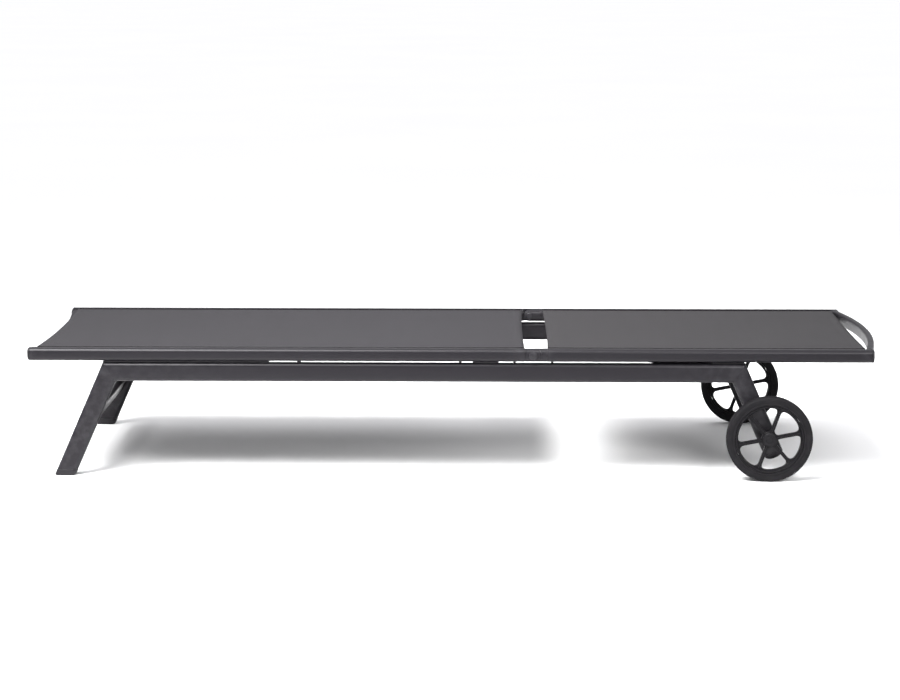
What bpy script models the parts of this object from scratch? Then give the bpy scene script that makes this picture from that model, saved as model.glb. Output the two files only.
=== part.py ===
"""Reclining sun lounger: a low aluminium frame on two legs and two wheels, with a
hinged backrest, two stretched slings and a notched prop under the backrest.

Frame: +X points to the head end, +Z up, origin on the ground in the middle.
"_left" is the -Y side and "_right" the +Y side. All lengths are metres.
"""

import math

import bmesh
import bpy
from mathutils import Vector
from mathutils.geometry import tessellate_polygon

# Driving dimensions.
RAIL_SPACING = 0.600          # between the two rails' middles
FOOT_END = -1.000
RAIL_HEAD_END = 0.968         # where the back rails end; the bowed head bar reaches +1.000
TOP = 0.304                   # top of the rails
RAIL_W = 0.034
RAIL_H = 0.030
RAIL_R = 0.010
WALL = 0.0018
GAP = 0.0003                  # clearance between touching pieces

TUBE_W = 0.025                # base tube, across
TUBE_H = 0.045                # base tube, high
TUBE_R = 0.010
BASE_TOP = 0.270
SLANT = math.radians(24.0)    # legs from the vertical
FRONT_CORNER = -0.8245        # outer mitre corners of the base frame at its top
REAR_CORNER = 0.671
FOOT_CAP_H = 0.015
FOOT_CAP_EASE = (0.0015, 0.0025)   # the sole is this much smaller all round, up to this height
FOOT_CAP_PLUG = 0.020
LEG_PAST_AXLE = 0.043         # how far a rear leg runs on below the axle's height
REAR_CAP_DEPTH = 0.014
REAR_CAP_PLUG = 0.015
REAR_CAP_DOME = ((0.0030, 0.0, 0.0), (0.0075, 0.003, 0.006), (0.0110, 0.007, 0.015),
                 (0.0132, 0.012, 0.025), (REAR_CAP_DEPTH, 0.017, 0.034))  # depth, thinner, narrower
TUBE_PLUG_PLAY = 0.001        # a plug in a base tube is this much smaller than its inside

WHEEL_R = 0.100
WHEEL_W = 0.028
WHEEL_FACE = 0.354            # outer face of a tyre, from the middle
HUB_RECESS = 0.003            # the hub's outer end lies this far inside that face
HUB_CLEAR = 0.001             # between a hub's inner end and the rear leg
RIM_R = 0.080
WINDOW_R = 0.073
HUB_R = 0.016
SPOKES = 6
SPOKE_W = 0.008
SPOKE_TURN = math.radians(11.0)
AXLE_R = 0.006
AXLE_X = 0.726                # the axle lies a little behind the rear legs' middles

PIVOT_X = 0.178
PIVOT_Z = TOP - RAIL_H / 2
KNUCKLE_R = 0.020
TONGUE_R = 0.0137
HALF_SPLIT = -0.0012          # where a knuckle is split, inward from the rail's middle
REACH = 0.03                  # how far the knuckles' cutters go past them
PLUG_LENGTH = 0.018
PLUG_SIZE = (0.024, 0.0125, 0.003)
PLUG_DROP = 0.0055            # a plug's middle, below the rail's middle
MERGE = 0.002                 # how far two shapes that become one solid run into each other
BOLT_R = 0.004
BOLT_PLAY = 0.0004
SEAT_RAIL_END = 0.160
BACK_RAIL_START = 0.211
CAP_DEPTH = 0.006             # visible depth of a rail's end cap
CAP_DOMED = ((0.0, 0.50), (0.0008, 0.76), (0.0025, 0.93), (0.0048, 1.0))
CAP_FLAT = ((0.0, 0.86), (0.0006, 0.95), (0.0020, 1.0))

SEAT_SLING = (-0.982, 0.159)  # ends along X
BACK_SLING = (0.2115, 0.951)
SEAT_SAG = (0.005, 0.009)     # at a sling's ends and in its middle
BACK_SAG = (0.004, 0.008)
SEAT_HOLLOW = (0.004, 0.003)  # how far a sling's two free edges curve in
BACK_HOLLOW = (0.003, 0.0)
SLING_T = 0.0012
SLING_Z = TOP - 0.0011        # middle of the cloth at the rails
GROOVE_IN = 0.0025            # groove's middle, inward from the rail's middle
GROOVE_DOWN = 0.0055          # groove chamber's middle, below the rail's top
GROOVE_R = 0.0033
SLOT_W = 0.0028
INNER_LIP_DROP = 0.002        # the lip that the cloth runs over is lower
KEDER_R = 0.0027

# Bars: (X, Z) of the middle, and sections as (along X, high, corner radius).
FOOT_BAR = (FOOT_END + 0.013, PIVOT_Z)
FOOT_BAR_SECTION = (0.018, 0.024, 0.006)
FOOT_BAR_BOW = (0.0, -0.038)
HEAD_BAR = (RAIL_HEAD_END - 0.008, PIVOT_Z)
HEAD_BAR_SECTION = (0.016, RAIL_H, 0.005)
HEAD_BAR_BOW = (0.032, 0.0)
BACK_BARS = (("lower", 0.285), ("upper", 0.750))
BACK_BAR_Z = PIVOT_Z - 0.002
BACK_BAR_SECTION = (0.020, 0.020, 0.006)
BACK_BAR_BOW = (0.0, -0.022)
COPE_PAST = 0.007             # how far a bowed bar runs into the rails before it is cut
LEG_BAR_SECTION = (0.018, 0.033, 0.004)
FRONT_BAR_Z = 0.107
FRONT_BAR_OUT = 0.005         # the front bar's middle is this far out from the leg's middle
REAR_BAR_Z = 0.170
MIDDLE_BAR = (0.068, 0.249)
MIDDLE_BAR_SECTION = (0.050, 0.022, 0.004)

# What stands in the gap between the base rails and the rails above: ranges along X.
SPACERS = (("front", (-0.8235, -0.436)), ("middle", (-0.371, -0.362)), ("rear", (0.038, 0.098)))
SPACER_W = 0.018
REST_PAD = (0.592, 0.668)
REST_PAD_W = 0.016

TRACK_TILT = math.radians(4.971)   # the rack line falls this much toward the head
PROP_PIVOT = (0.409, 0.2815)       # X and Z at rest
PROP_LENGTH = math.hypot(PROP_PIVOT[0] - PIVOT_X, PIVOT_Z - PROP_PIVOT[1])
PROP_EYE_R = 0.0075
PROP_END_R = 0.0125
PROP_BAR_R = 0.007
PROP_ARM_Y = (0.268, 0.274)
BRACKET_T = 0.004
RACK_Y = (0.2812, 0.2872)
RACK_X = (0.330, 0.655)
RACK_BOTTOM = 0.229
RACK_PLAY = 0.0005            # the bar runs this far above the rack's crests
NOTCH_DEPTH = 0.008
NOTCH_R = 0.0076
NOTCH_HEAD = 0.0082           # a notch reaches this far toward the head from the bar's middle
NOTCH_FOOT = 0.0130           # and this far toward the foot, where it slopes up
STOP_ANGLES = (16, 29, 42, 54, 65)

SIDES = (("left", -1), ("right", 1))
WHEEL_SEGMENTS = 36

PAINT = ("anthracite powder coat", (0.048, 0.046, 0.052), 0.42, 0.55)
PLASTIC = ("dark grey plastic", (0.036, 0.035, 0.040), 0.55, 0.0)
WHEEL_PLASTIC = ("black wheel plastic", (0.024, 0.023, 0.026), 0.50, 0.0)
RUBBER = ("black rubber", (0.018, 0.017, 0.019), 0.75, 0.0)
CLOTH = ("dark grey mesh cloth", (0.080, 0.076, 0.080), 0.80, 0.0)
STEEL = ("zinc plated steel", (0.45, 0.45, 0.46), 0.35, 1.0)


def clear_scene():
    for obj in list(bpy.data.objects):
        bpy.data.objects.remove(obj, do_unlink=True)


def material(look):
    name, colour, roughness, metallic = look
    found = bpy.data.materials.get(name)
    if found:
        return found
    made = bpy.data.materials.new(name)
    made.use_nodes = True
    shader = made.node_tree.nodes["Principled BSDF"]
    shader.inputs["Base Color"].default_value = (*colour, 1.0)
    shader.inputs["Roughness"].default_value = roughness
    shader.inputs["Metallic"].default_value = metallic
    made.diffuse_color = (*colour, 1.0)
    return made


def solid(name, points, faces, look, sharp=30.0, pivot=(0.0, 0.0, 0.0)):
    """One closed mesh object, its faces turned outward, its origin at pivot."""
    mesh = bpy.data.meshes.new(name)
    mesh.from_pydata([Vector(p) - Vector(pivot) for p in points], [], faces)
    work = bmesh.new()
    work.from_mesh(mesh)
    bmesh.ops.recalc_face_normals(work, faces=work.faces)
    work.to_mesh(mesh)
    work.free()
    mesh.shade_smooth()
    mesh.set_sharp_from_angle(angle=math.radians(sharp))
    mesh.materials.append(material(look))
    obj = bpy.data.objects.new(name, mesh)
    obj.location = pivot
    bpy.context.scene.collection.objects.link(obj)
    return obj


def loft(name, rings, look, holes=(), **options):
    """A skin over rings of equal point counts, with open tubes where holes has rings too."""
    points = []
    faces = []
    ends = ([], [])
    for wall in (rings, *holes):
        first = len(points)
        count = len(wall[0])
        for ring in wall:
            points.extend(Vector(p) for p in ring)
        for level in range(len(wall) - 1):
            low = first + level * count
            high = low + count
            for i in range(count):
                j = (i + 1) % count
                faces.append((low + i, low + j, high + j, high + i))
        ends[0].append(range(first, first + count))
        ends[1].append(range(first + (len(wall) - 1) * count, first + len(wall) * count))
    for loops in ends:
        order = [index for loop in loops for index in loop]
        caps = tessellate_polygon([[points[index] for index in loop] for loop in loops])
        faces.extend(tuple(order[k] for k in cap) for cap in caps)
    return solid(name, points, faces, look, **options)


def arc(centre, radius, start, end, steps):
    """Points on a circle from start to end degrees, both included."""
    turns = [math.radians(start + (end - start) * k / steps) for k in range(steps + 1)]
    return [(centre[0] + radius * math.cos(t), centre[1] + radius * math.sin(t)) for t in turns]


def rounded_rect(width, height, radius, centre=(0.0, 0.0), steps=3):
    """Outline of a rectangle with round corners, counter-clockwise."""
    x = width / 2 - radius
    y = height / 2 - radius
    outline = []
    for sx, sy, start in ((1, 1, 0), (-1, 1, 90), (-1, -1, 180), (1, -1, 270)):
        corner = (centre[0] + sx * x, centre[1] + sy * y)
        outline += arc(corner, radius, start, start + 90, steps)
    return outline


def across(outline, x, side, middle_z=PIVOT_Z):
    """A section of a rail at x: outline is (inward, up) from the rail's middle."""
    return [(x, side * (RAIL_SPACING / 2 - u), middle_z + v) for u, v in outline]


def extrude_y(name, outline, y_range, look, holes=(), **options):
    """A plate: an outline of (x, z) points, with holes, between two y values."""
    def wall(points):
        return [[(x, y, z) for x, z in points] for y in y_range]
    return loft(name, wall(outline), look, holes=[wall(hole) for hole in holes], **options)


def turned(name, profile, centre, look, segments=32, **options):
    """A solid of revolution about a line along Y: profile is (radius, y) points, closed."""
    count = len(profile)
    points = []
    faces = []
    for k in range(segments):
        t = 2 * math.pi * k / segments
        for radius, y in profile:
            points.append((centre[0] + radius * math.cos(t), y, centre[1] + radius * math.sin(t)))
    for k in range(segments):
        low = k * count
        high = (k + 1) % segments * count
        for i in range(count):
            j = (i + 1) % count
            faces.append((low + i, low + j, high + j, high + i))
    return solid(name, points, faces, look, **options)


def rod_y(name, radius, y_range, centre, look, segments=24, **options):
    """A round bar along Y."""
    circle = arc(centre, radius, 0, 360 - 360 / segments, segments - 1)
    return extrude_y(name, circle, y_range, look, **options)


def helper(obj):
    """Makes an object a cutter: it shapes another and isn't a piece itself."""
    obj.hide_render = True
    obj.display_type = "WIRE"
    return obj


def boolean(obj, operation, tool):
    modifier = obj.modifiers.new(operation.lower(), "BOOLEAN")
    modifier.operation = operation
    modifier.object = helper(tool)
    modifier.solver = "EXACT"


def rail_shape(width, height, radius, centre=(0.0, 0.0), drop=0.0):
    """A rail's outer shape without its groove. Its inner shoulder is lower by drop."""
    x = width / 2 - radius
    y = height / 2 - radius
    outline = [(GROOVE_IN - SLOT_W / 2, height / 2)]
    for corner_x, corner_y, start in ((-x, y, 90), (-x, -y, 180), (x, -y, 270), (x, y - drop, 0)):
        outline += arc((corner_x, corner_y), radius, start, start + 90, 4)
    outline.append((GROOVE_IN + SLOT_W / 2, height / 2 - drop))
    return [(centre[0] + u, centre[1] + v) for u, v in outline]


def rail_outline():
    """The rail's section with its cloth groove, as (inward, up) points."""
    mouth = 90 - math.degrees(math.asin(SLOT_W / 2 / GROOVE_R))
    chamber = (GROOVE_IN, RAIL_H / 2 - GROOVE_DOWN)
    outline = rail_shape(RAIL_W, RAIL_H, RAIL_R, drop=INNER_LIP_DROP)
    return outline + arc(chamber, GROOVE_R, mouth, mouth - 360 + 2 * (90 - mouth), 10)


def rail_hollow():
    """The rail's inner chamber: it fills the section except round the groove."""
    x = RAIL_W / 2 - RAIL_R
    y = RAIL_H / 2 - RAIL_R
    radius = RAIL_R - WALL
    floor_of_groove = RAIL_H / 2 - GROOVE_DOWN - GROOVE_R - WALL
    beside_groove = GROOVE_IN - GROOVE_R - WALL
    outline = arc((-x, y), radius, 90, 180, 3)
    outline += arc((-x, -y), radius, 180, 270, 3)
    outline += arc((x, -y), radius, 270, 360, 3)
    outline.append((RAIL_W / 2 - WALL, floor_of_groove))
    outline.append((beside_groove, floor_of_groove))
    outline.append((beside_groove, y + radius))
    return outline


def full_section():
    """The rail's outer shape, for caps and knuckles."""
    return rail_shape(RAIL_W, RAIL_H, RAIL_R, drop=INNER_LIP_DROP)


def plug_section():
    """What slides into the lower part of a rail's inner chamber."""
    return rail_shape(*PLUG_SIZE, centre=(0.0, -PLUG_DROP), drop=GAP)


def rail(name, x_range, side):
    rings = [across(rail_outline(), x, side) for x in x_range]
    hollow = [across(rail_hollow(), x, side) for x in x_range]
    return loft(name, rings, PAINT, holes=[hollow])


def end_cap(name, face, outward, side, profile):
    """A plastic cap: face is the X of its outermost point, outward is -1 or 1, and profile
    is its end's shape as (depth, scale) pairs."""
    def section(outline, depth, scale=1.0):
        shape = [(u * scale, v * scale) for u, v in outline]
        return across(shape, face - outward * depth, side)
    rings = [section(full_section(), depth, scale) for depth, scale in profile]
    rings.append(section(full_section(), CAP_DEPTH))
    rings.append(section(plug_section(), CAP_DEPTH))
    rings.append(section(plug_section(), CAP_DEPTH + PLUG_LENGTH))
    return loft(name, rings, PLASTIC)


def bowed_bar(name, middle, section, bow, steps=10):
    """A bar between the two rails. middle is its ends' (x, z), bow its middle's shift in x
    and z, and its ends are cut to the rails' round inner faces."""
    half = RAIL_SPACING / 2 - RAIL_W / 2
    rings = []
    for k in range(steps + 1):
        y = (half + COPE_PAST) * (2 * k / steps - 1)
        lift = 1 - (y / half) ** 2
        x = middle[0] + bow[0] * lift
        z = middle[1] + bow[1] * lift
        rings.append([(x + u, y, z + v) for u, v in rounded_rect(*section, steps=2)])
    obj = loft(name, rings, PAINT)
    grown = rail_shape(RAIL_W + 2 * GAP, RAIL_H + 2 * GAP, RAIL_R + GAP, drop=INNER_LIP_DROP)
    for label, side in SIDES:
        ends = (middle[0] - REACH, middle[0] + REACH)
        cutter = loft(f"{name}_cope_{label}", [across(grown, x, side) for x in ends], PAINT)
        boolean(obj, "DIFFERENCE", cutter)
    return obj


def leg_axes(lean):
    """Down the leg, and across it in the XZ plane. lean is -1 toward the foot end."""
    down = Vector((lean * math.sin(SLANT), 0.0, -math.cos(SLANT)))
    wide = Vector((math.cos(SLANT), 0.0, lean * math.sin(SLANT)))
    return down, wide


def cut_ring(outline, origin, along, wide, plane_point, plane_normal):
    """A tube's section where a plane cuts it. outline is (y, across) points."""
    ring = []
    for u, w in outline:
        start = Vector(origin) + Vector((0.0, u, 0.0)) + wide * w
        distance = (Vector(plane_point) - start).dot(plane_normal) / along.dot(plane_normal)
        ring.append(start + along * distance)
    return ring


def tube_sections():
    """A base tube's outer and inner outline, and what plugs it."""
    outer = rounded_rect(TUBE_W, TUBE_H, TUBE_R)
    inner = rounded_rect(TUBE_W - 2 * WALL, TUBE_H - 2 * WALL, TUBE_R - WALL)
    smaller = 2 * WALL + TUBE_PLUG_PLAY
    plug = rounded_rect(TUBE_W - smaller, TUBE_H - smaller, TUBE_R - WALL)
    return outer, inner, plug


def leg_middle(corner, lean, z):
    """X of a leg's centre line at height z."""
    half = TUBE_H / 2 / math.cos(SLANT)
    return corner - lean * half + lean * (BASE_TOP - z) * math.tan(SLANT)


def leg_point(corner, lean, side):
    """The point of a leg's centre line at the axle's height."""
    return Vector((leg_middle(corner, lean, WHEEL_R), side * RAIL_SPACING / 2, WHEEL_R))


def mitre(corner, lean):
    """A point and the normal of the mitre plane at a base corner."""
    inner_x = leg_middle(corner, lean, BASE_TOP - TUBE_H) - lean * TUBE_H / 2 / math.cos(SLANT)
    along = Vector((inner_x - corner, 0.0, -TUBE_H)).normalized()
    normal = Vector((along.z, 0.0, -along.x)) * lean
    return Vector((corner, 0.0, BASE_TOP)), normal


def tube_between(name, origin, along, wide, planes):
    """A hollow base tube along a line, cut by two planes."""
    walls = []
    for outline in tube_sections()[:2]:
        walls.append([cut_ring(outline, origin, along, wide, *plane) for plane in planes])
    return loft(name, walls[0], PAINT, holes=[walls[1]])


def base_rail(name, side):
    middle = (0.0, side * RAIL_SPACING / 2, BASE_TOP - TUBE_H / 2)
    along = Vector((1.0, 0.0, 0.0))
    up = Vector((0.0, 0.0, 1.0))
    return tube_between(name, middle, along, up, [mitre(FRONT_CORNER, -1), mitre(REAR_CORNER, 1)])


def leg(name, corner, lean, side, bottom):
    """A slanting leg from its mitre down to the plane bottom."""
    down, wide = leg_axes(lean)
    middle = leg_point(corner, lean, side)
    point, normal = mitre(corner, lean)
    top = (point + down * GAP / abs(down.dot(normal)), normal)
    return tube_between(name, middle, down, wide, [top, bottom])


def foot_cap(name, side):
    """The plastic foot under a front leg, flat where it stands."""
    down, wide = leg_axes(-1)
    middle = leg_point(FRONT_CORNER, -1, side)
    outer, _, plug = tube_sections()
    ease, ease_top = FOOT_CAP_EASE
    sole = rounded_rect(TUBE_W - 2 * ease, TUBE_H - 2 * ease, TUBE_R - ease)
    up = Vector((0.0, 0.0, 1.0))
    rings = []
    top = FOOT_CAP_H - GAP
    levels = ((sole, 0.0), (outer, ease_top), (outer, top), (plug, top), (plug, top + FOOT_CAP_PLUG))
    for outline, z in levels:
        rings.append(cut_ring(outline, middle, down, wide, (0.0, 0.0, z), up))
    return loft(name, rings, PLASTIC)


def rear_cap(name, side):
    """The rounded plastic cap under a rear leg, below the axle."""
    down, wide = leg_axes(1)
    middle = leg_point(REAR_CORNER, 1, side)
    outer, _, plug = tube_sections()

    def smaller(thinner, narrower):
        width = TUBE_W - thinner
        return rounded_rect(width, TUBE_H - narrower, min(TUBE_R - 0.001, width * 0.45))

    levels = [(-REAR_CAP_PLUG, plug), (GAP, plug), (GAP, outer)]
    levels += [(depth, smaller(thinner, narrower)) for depth, thinner, narrower in REAR_CAP_DOME]
    rings = []
    for depth, outline in levels:
        origin = middle + down * (LEG_PAST_AXLE + depth)
        rings.append([origin + Vector((0.0, u, 0.0)) + wide * w for u, w in outline])
    return loft(name, rings, PLASTIC)


def cross_bar(name, centre, size, lean):
    """A straight bar between the two sides of the base, its section tilted with the legs."""
    if lean:
        down, wide = leg_axes(lean)
    else:
        down, wide = Vector((0.0, 0.0, 1.0)), Vector((1.0, 0.0, 0.0))
    half = RAIL_SPACING / 2 - TUBE_W / 2 - GAP
    walls = []
    for inset in (0.0, WALL):
        outline = rounded_rect(size[0] - 2 * inset, size[1] - 2 * inset, size[2] - inset)
        ring = [Vector((centre[0], 0.0, centre[1])) + wide * u + down * w for u, w in outline]
        walls.append([[p + Vector((0.0, y, 0.0)) for p in ring] for y in (-half, half)])
    return loft(name, walls[0], PAINT, holes=[walls[1]])


def block(name, x_range, y_middle, width, z_range, look, bevel=0.001):
    """A small block with eased edges."""
    x0, x1 = x_range
    z0, z1 = z_range
    corners = [(x, y, z) for x in (x0, x1) for y in (y_middle - width / 2, y_middle + width / 2)
               for z in (z0, z1)]
    faces = [(0, 1, 3, 2), (4, 6, 7, 5), (0, 4, 5, 1), (2, 3, 7, 6), (0, 2, 6, 4), (1, 5, 7, 3)]
    obj = solid(name, corners, faces, look)
    ease = obj.modifiers.new("ease", "BEVEL")
    ease.width = bevel
    ease.segments = 2
    return obj


def sling(name, x_range, sag, hollow, columns=8, rows=8):
    """A stretched cloth whose two long edges turn down into the rails' grooves."""
    groove = RAIL_SPACING / 2 - GROOVE_IN
    half = SLING_T / 2
    x0, x1 = x_range
    hook_z = TOP - GROOVE_DOWN + KEDER_R + GAP

    def height(s, y):
        depth = sag[0] + (sag[1] - sag[0]) * math.sin(math.pi * s)
        return SLING_Z - depth * (1 - (y / groove) ** 2)

    rings = []
    for k in range(rows + 1):
        s = k / rows
        ring = []
        across_y = [(groove - half) * (2 * j / columns - 1) for j in range(columns + 1)]

        def place(y, z):
            pull = (1 - (y / groove) ** 2) * (hollow[0] * (1 - s) - hollow[1] * s)
            return (x0 + (x1 - x0) * s + pull, y, z)

        ring.append(place(-groove - half, SLING_Z + half))
        ring += [place(y, height(s, y) + half) for y in across_y]
        ring.append(place(groove + half, SLING_Z + half))
        ring.append(place(groove + half, hook_z))
        ring.append(place(groove - half, hook_z))
        ring += [place(y, height(s, y) - half) for y in reversed(across_y)]
        ring.append(place(-groove + half, hook_z))
        ring.append(place(-groove - half, hook_z))
        rings.append(ring)
    return loft(name, rings, CLOTH, sharp=40.0)


def keder(name, x_range, side):
    """The round cord that holds a sling's edge in its groove."""
    circle = arc((GROOVE_IN, RAIL_H / 2 - GROOVE_DOWN), KEDER_R, 0, 330, 11)
    return loft(name, [across(circle, x, side) for x in x_range], PLASTIC)


def fixed_knuckle(name, side):
    """The seat rail's half of the hinge: an outer lug with a round nose."""
    start = SEAT_RAIL_END + GAP
    rings = [across(full_section(), x, side) for x in (start, PIVOT_X + KNUCKLE_R + MERGE)]
    obj = loft(name, rings, PAINT)
    low = PIVOT_Z - REACH
    high = PIVOT_Z + REACH
    nose = [(PIVOT_X, high), (PIVOT_X, PIVOT_Z + KNUCKLE_R)]
    nose += arc((PIVOT_X, PIVOT_Z), KNUCKLE_R, 80, -80, 16)
    nose += [(PIVOT_X, PIVOT_Z - KNUCKLE_R), (PIVOT_X, low), (PIVOT_X + REACH, low),
             (PIVOT_X + REACH, high)]
    both = sorted(side * (RAIL_SPACING / 2 + u) for u in (-REACH, REACH))
    boolean(obj, "DIFFERENCE", extrude_y(name + "_nose", nose, both, PAINT))
    back = PIVOT_X - TONGUE_R - 0.0013
    recess = [(back, low), (PIVOT_X + REACH, low), (PIVOT_X + REACH, high), (back, high)]
    inner = sorted(side * (RAIL_SPACING / 2 - u) for u in (HALF_SPLIT - GAP, REACH))
    boolean(obj, "DIFFERENCE", extrude_y(name + "_recess", recess, inner, PAINT))
    boolean(obj, "DIFFERENCE", bolt_hole(name, side))
    boolean(obj, "UNION", knuckle_plug(name, (start - PLUG_LENGTH, start + MERGE), side))
    return obj


def knuckle_plug(name, x_range, side):
    """What holds a knuckle in its rail."""
    return loft(name + "_plug", [across(plug_section(), x, side) for x in x_range], PAINT)


def bolt_hole(name, side):
    both = sorted(side * (RAIL_SPACING / 2 + u) for u in (-REACH, REACH))
    return rod_y(name + "_hole", BOLT_R + BOLT_PLAY, both, (PIVOT_X, PIVOT_Z), STEEL)


def moving_knuckle(name, side):
    """The back rail's half of the hinge: a hollow face and an inner tongue with an eye."""
    end = BACK_RAIL_START - GAP
    rings = [across(full_section(), x, side) for x in (PIVOT_X - KNUCKLE_R, end)]
    obj = loft(name, rings, PAINT)
    low = PIVOT_Z - REACH
    high = PIVOT_Z + REACH
    left = PIVOT_X - REACH
    radius = KNUCKLE_R + GAP
    cup = [(left, low), (PIVOT_X, low), (PIVOT_X, PIVOT_Z - radius)]
    cup += arc((PIVOT_X, PIVOT_Z), radius, -80, 80, 16)
    cup += [(PIVOT_X, PIVOT_Z + radius), (PIVOT_X, high), (left, high)]
    outer = sorted(side * (RAIL_SPACING / 2 - u) for u in (HALF_SPLIT + GAP, -REACH))
    boolean(obj, "DIFFERENCE", extrude_y(name + "_cup", cup, outer, PAINT))
    eye = [(left, low), (PIVOT_X, low)]
    eye += arc((PIVOT_X, PIVOT_Z), TONGUE_R, 270, 90, 12)
    eye += [(PIVOT_X, high), (left, high)]
    inner = sorted(side * (RAIL_SPACING / 2 - u) for u in (HALF_SPLIT - MERGE, REACH))
    boolean(obj, "DIFFERENCE", extrude_y(name + "_eye", eye, inner, PAINT))
    boolean(obj, "DIFFERENCE", bolt_hole(name, side))
    boolean(obj, "UNION", knuckle_plug(name, (end - MERGE, end + PLUG_LENGTH), side))
    return obj


def pivot_bolt(name, side):
    """The hinge's shoulder bolt, with a domed cap outside."""
    face = RAIL_SPACING / 2 + RAIL_W / 2 + GAP
    inside = RAIL_SPACING / 2 - RAIL_W / 2 - GAP
    outline = [(0.0, inside - 0.003), (0.007, inside - 0.003), (0.007, inside), (BOLT_R, inside),
               (BOLT_R, face), (0.0093, face), (0.0093, face + 0.0012), (0.0070, face + 0.0026),
               (0.0035, face + 0.0032), (0.0, face + 0.0033)]
    return pin_shape(name, outline, side, (PIVOT_X, PIVOT_Z), PLASTIC)


def pin_shape(name, outline, side, centre, look, segments=16, pivot=None):
    """A turned solid whose outline starts and ends on the axis. Outline is (radius, |y|)."""
    rings = []
    for radius, y in outline[1:-1]:
        circle = arc(centre, radius, 0, 360 - 360 / segments, segments - 1)
        rings.append([(x, side * y, z) for x, z in circle])
    return loft(name, rings, look, pivot=pivot or (centre[0], 0.0, centre[1]))


def track_z(x):
    """Height of the prop bar's middle above the rack at x."""
    return PIVOT_Z - math.tan(TRACK_TILT) * (x - PIVOT_X)


def bar_x(angle):
    """Where the prop's bar stands with the backrest at angle degrees."""
    rest = math.atan2(PIVOT_Z - PROP_PIVOT[1], PROP_PIVOT[0] - PIVOT_X)
    reach = 2 * PROP_LENGTH * math.cos(math.radians(angle) + TRACK_TILT - rest)
    return PIVOT_X + reach * math.cos(TRACK_TILT)


def prop_foot():
    """X and Z of the prop's bar at rest."""
    return bar_x(0), track_z(bar_x(0))


def rack(name, side):
    """The notched plate that holds the prop's bar. Its notches stop the bar toward the head."""
    def crest(x):
        return track_z(x) - PROP_BAR_R - RACK_PLAY

    outline = [(RACK_X[0], RACK_BOTTOM), (RACK_X[1], RACK_BOTTOM), (RACK_X[1], crest(RACK_X[1]))]
    for angle in STOP_ANGLES:
        x = bar_x(angle)
        outline.append((x + NOTCH_HEAD, crest(x + NOTCH_HEAD)))
        outline += arc((x, crest(x) - NOTCH_DEPTH + PROP_BAR_R), NOTCH_R, 0, -115, 5)
        outline.append((x - NOTCH_FOOT, crest(x - NOTCH_FOOT)))
    outline.append((RACK_X[0], crest(RACK_X[0])))
    y_range = sorted(side * y for y in RACK_Y)
    return extrude_y(name, outline, y_range, PAINT)


def prop_arm(name, side):
    """A flat arm with an eye at each end, wider at the bar."""
    start = Vector(PROP_PIVOT)
    end = Vector(prop_foot())
    tilt = math.degrees(math.atan2(end.y - start.y, end.x - start.x))
    taper = math.degrees(math.asin((PROP_END_R - PROP_EYE_R) / PROP_LENGTH))
    outline = arc(end, PROP_END_R, tilt - 90 - taper, tilt + 90 + taper, 10)
    outline += arc(start, PROP_EYE_R, tilt + 90 + taper, tilt + 270 - taper, 10)
    eyes = [arc(start, BOLT_R + BOLT_PLAY, 0, 345, 23), arc(end, PROP_BAR_R + GAP, 0, 345, 23)]
    pivot = (PROP_PIVOT[0], 0.0, PROP_PIVOT[1])
    y_range = sorted(side * y for y in PROP_ARM_Y)
    return extrude_y(name, outline, y_range, PAINT, holes=eyes, pivot=pivot)


def prop_bracket(name, side):
    """The bracket on a back rail's inner face, with the stub that the prop turns on."""
    x, z = PROP_PIVOT
    rail_face = RAIL_SPACING / 2 - RAIL_W / 2 - GAP
    plate = [(x - 0.016, z - 0.001), (x - 0.009, z - 0.008), (x + 0.009, z - 0.008),
             (x + 0.016, z - 0.001), (x + 0.016, z + 0.0135), (x - 0.016, z + 0.0135)]
    thick = sorted(side * y for y in (rail_face - BRACKET_T, rail_face))
    obj = extrude_y(name, plate, thick, PAINT)
    head = PROP_ARM_Y[0] - GAP
    stub = [(0.0, rail_face - MERGE), (BOLT_R, rail_face - MERGE), (BOLT_R, head),
            (PROP_EYE_R, head), (PROP_EYE_R, head - 0.0022), (0.0, head - 0.0022)]
    boolean(obj, "UNION", pin_shape(name + "_stub", stub, side, (x, z), STEEL))
    return obj


def window(k):
    """One opening between two spokes, as (radial, tangential) points with round corners."""
    half = SPOKE_W / 2
    spread = math.pi / SPOKES
    inner_r = HUB_R + 0.0035
    outer_r = WINDOW_R

    def at(radius, edge):
        turn = spread - math.asin(half / radius)
        return Vector((radius * math.cos(edge * turn), radius * math.sin(edge * turn)))

    def corner(before, tip, after, size, steps=3):
        a = tip + (before - tip).normalized() * size
        b = tip + (after - tip).normalized() * size
        return [a * (1 - t) ** 2 + tip * 2 * t * (1 - t) + b * t ** 2
                for t in (i / steps for i in range(steps + 1))]

    inner_low, inner_high = at(inner_r, -1), at(inner_r, 1)
    outer_low, outer_high = at(outer_r, -1), at(outer_r, 1)
    turn = math.atan2(outer_high.y, outer_high.x)
    rim = [Vector(p) for p in arc((0, 0), outer_r, -math.degrees(turn) + 12,
                                  math.degrees(turn) - 12, 4)]
    outline = corner(inner_high, inner_low, outer_low, 0.004)
    outline += corner(inner_low, outer_low, rim[1], 0.012)
    outline += rim[1:-1]
    outline += corner(rim[-2], outer_high, inner_high, 0.012)
    outline += corner(outer_high, inner_high, inner_low, 0.004)
    middle = SPOKE_TURN + spread + 2 * math.pi * k / SPOKES
    cos, sin = math.cos(middle), math.sin(middle)
    return [(p.x * cos - p.y * sin, p.x * sin + p.y * cos) for p in outline]


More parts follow.
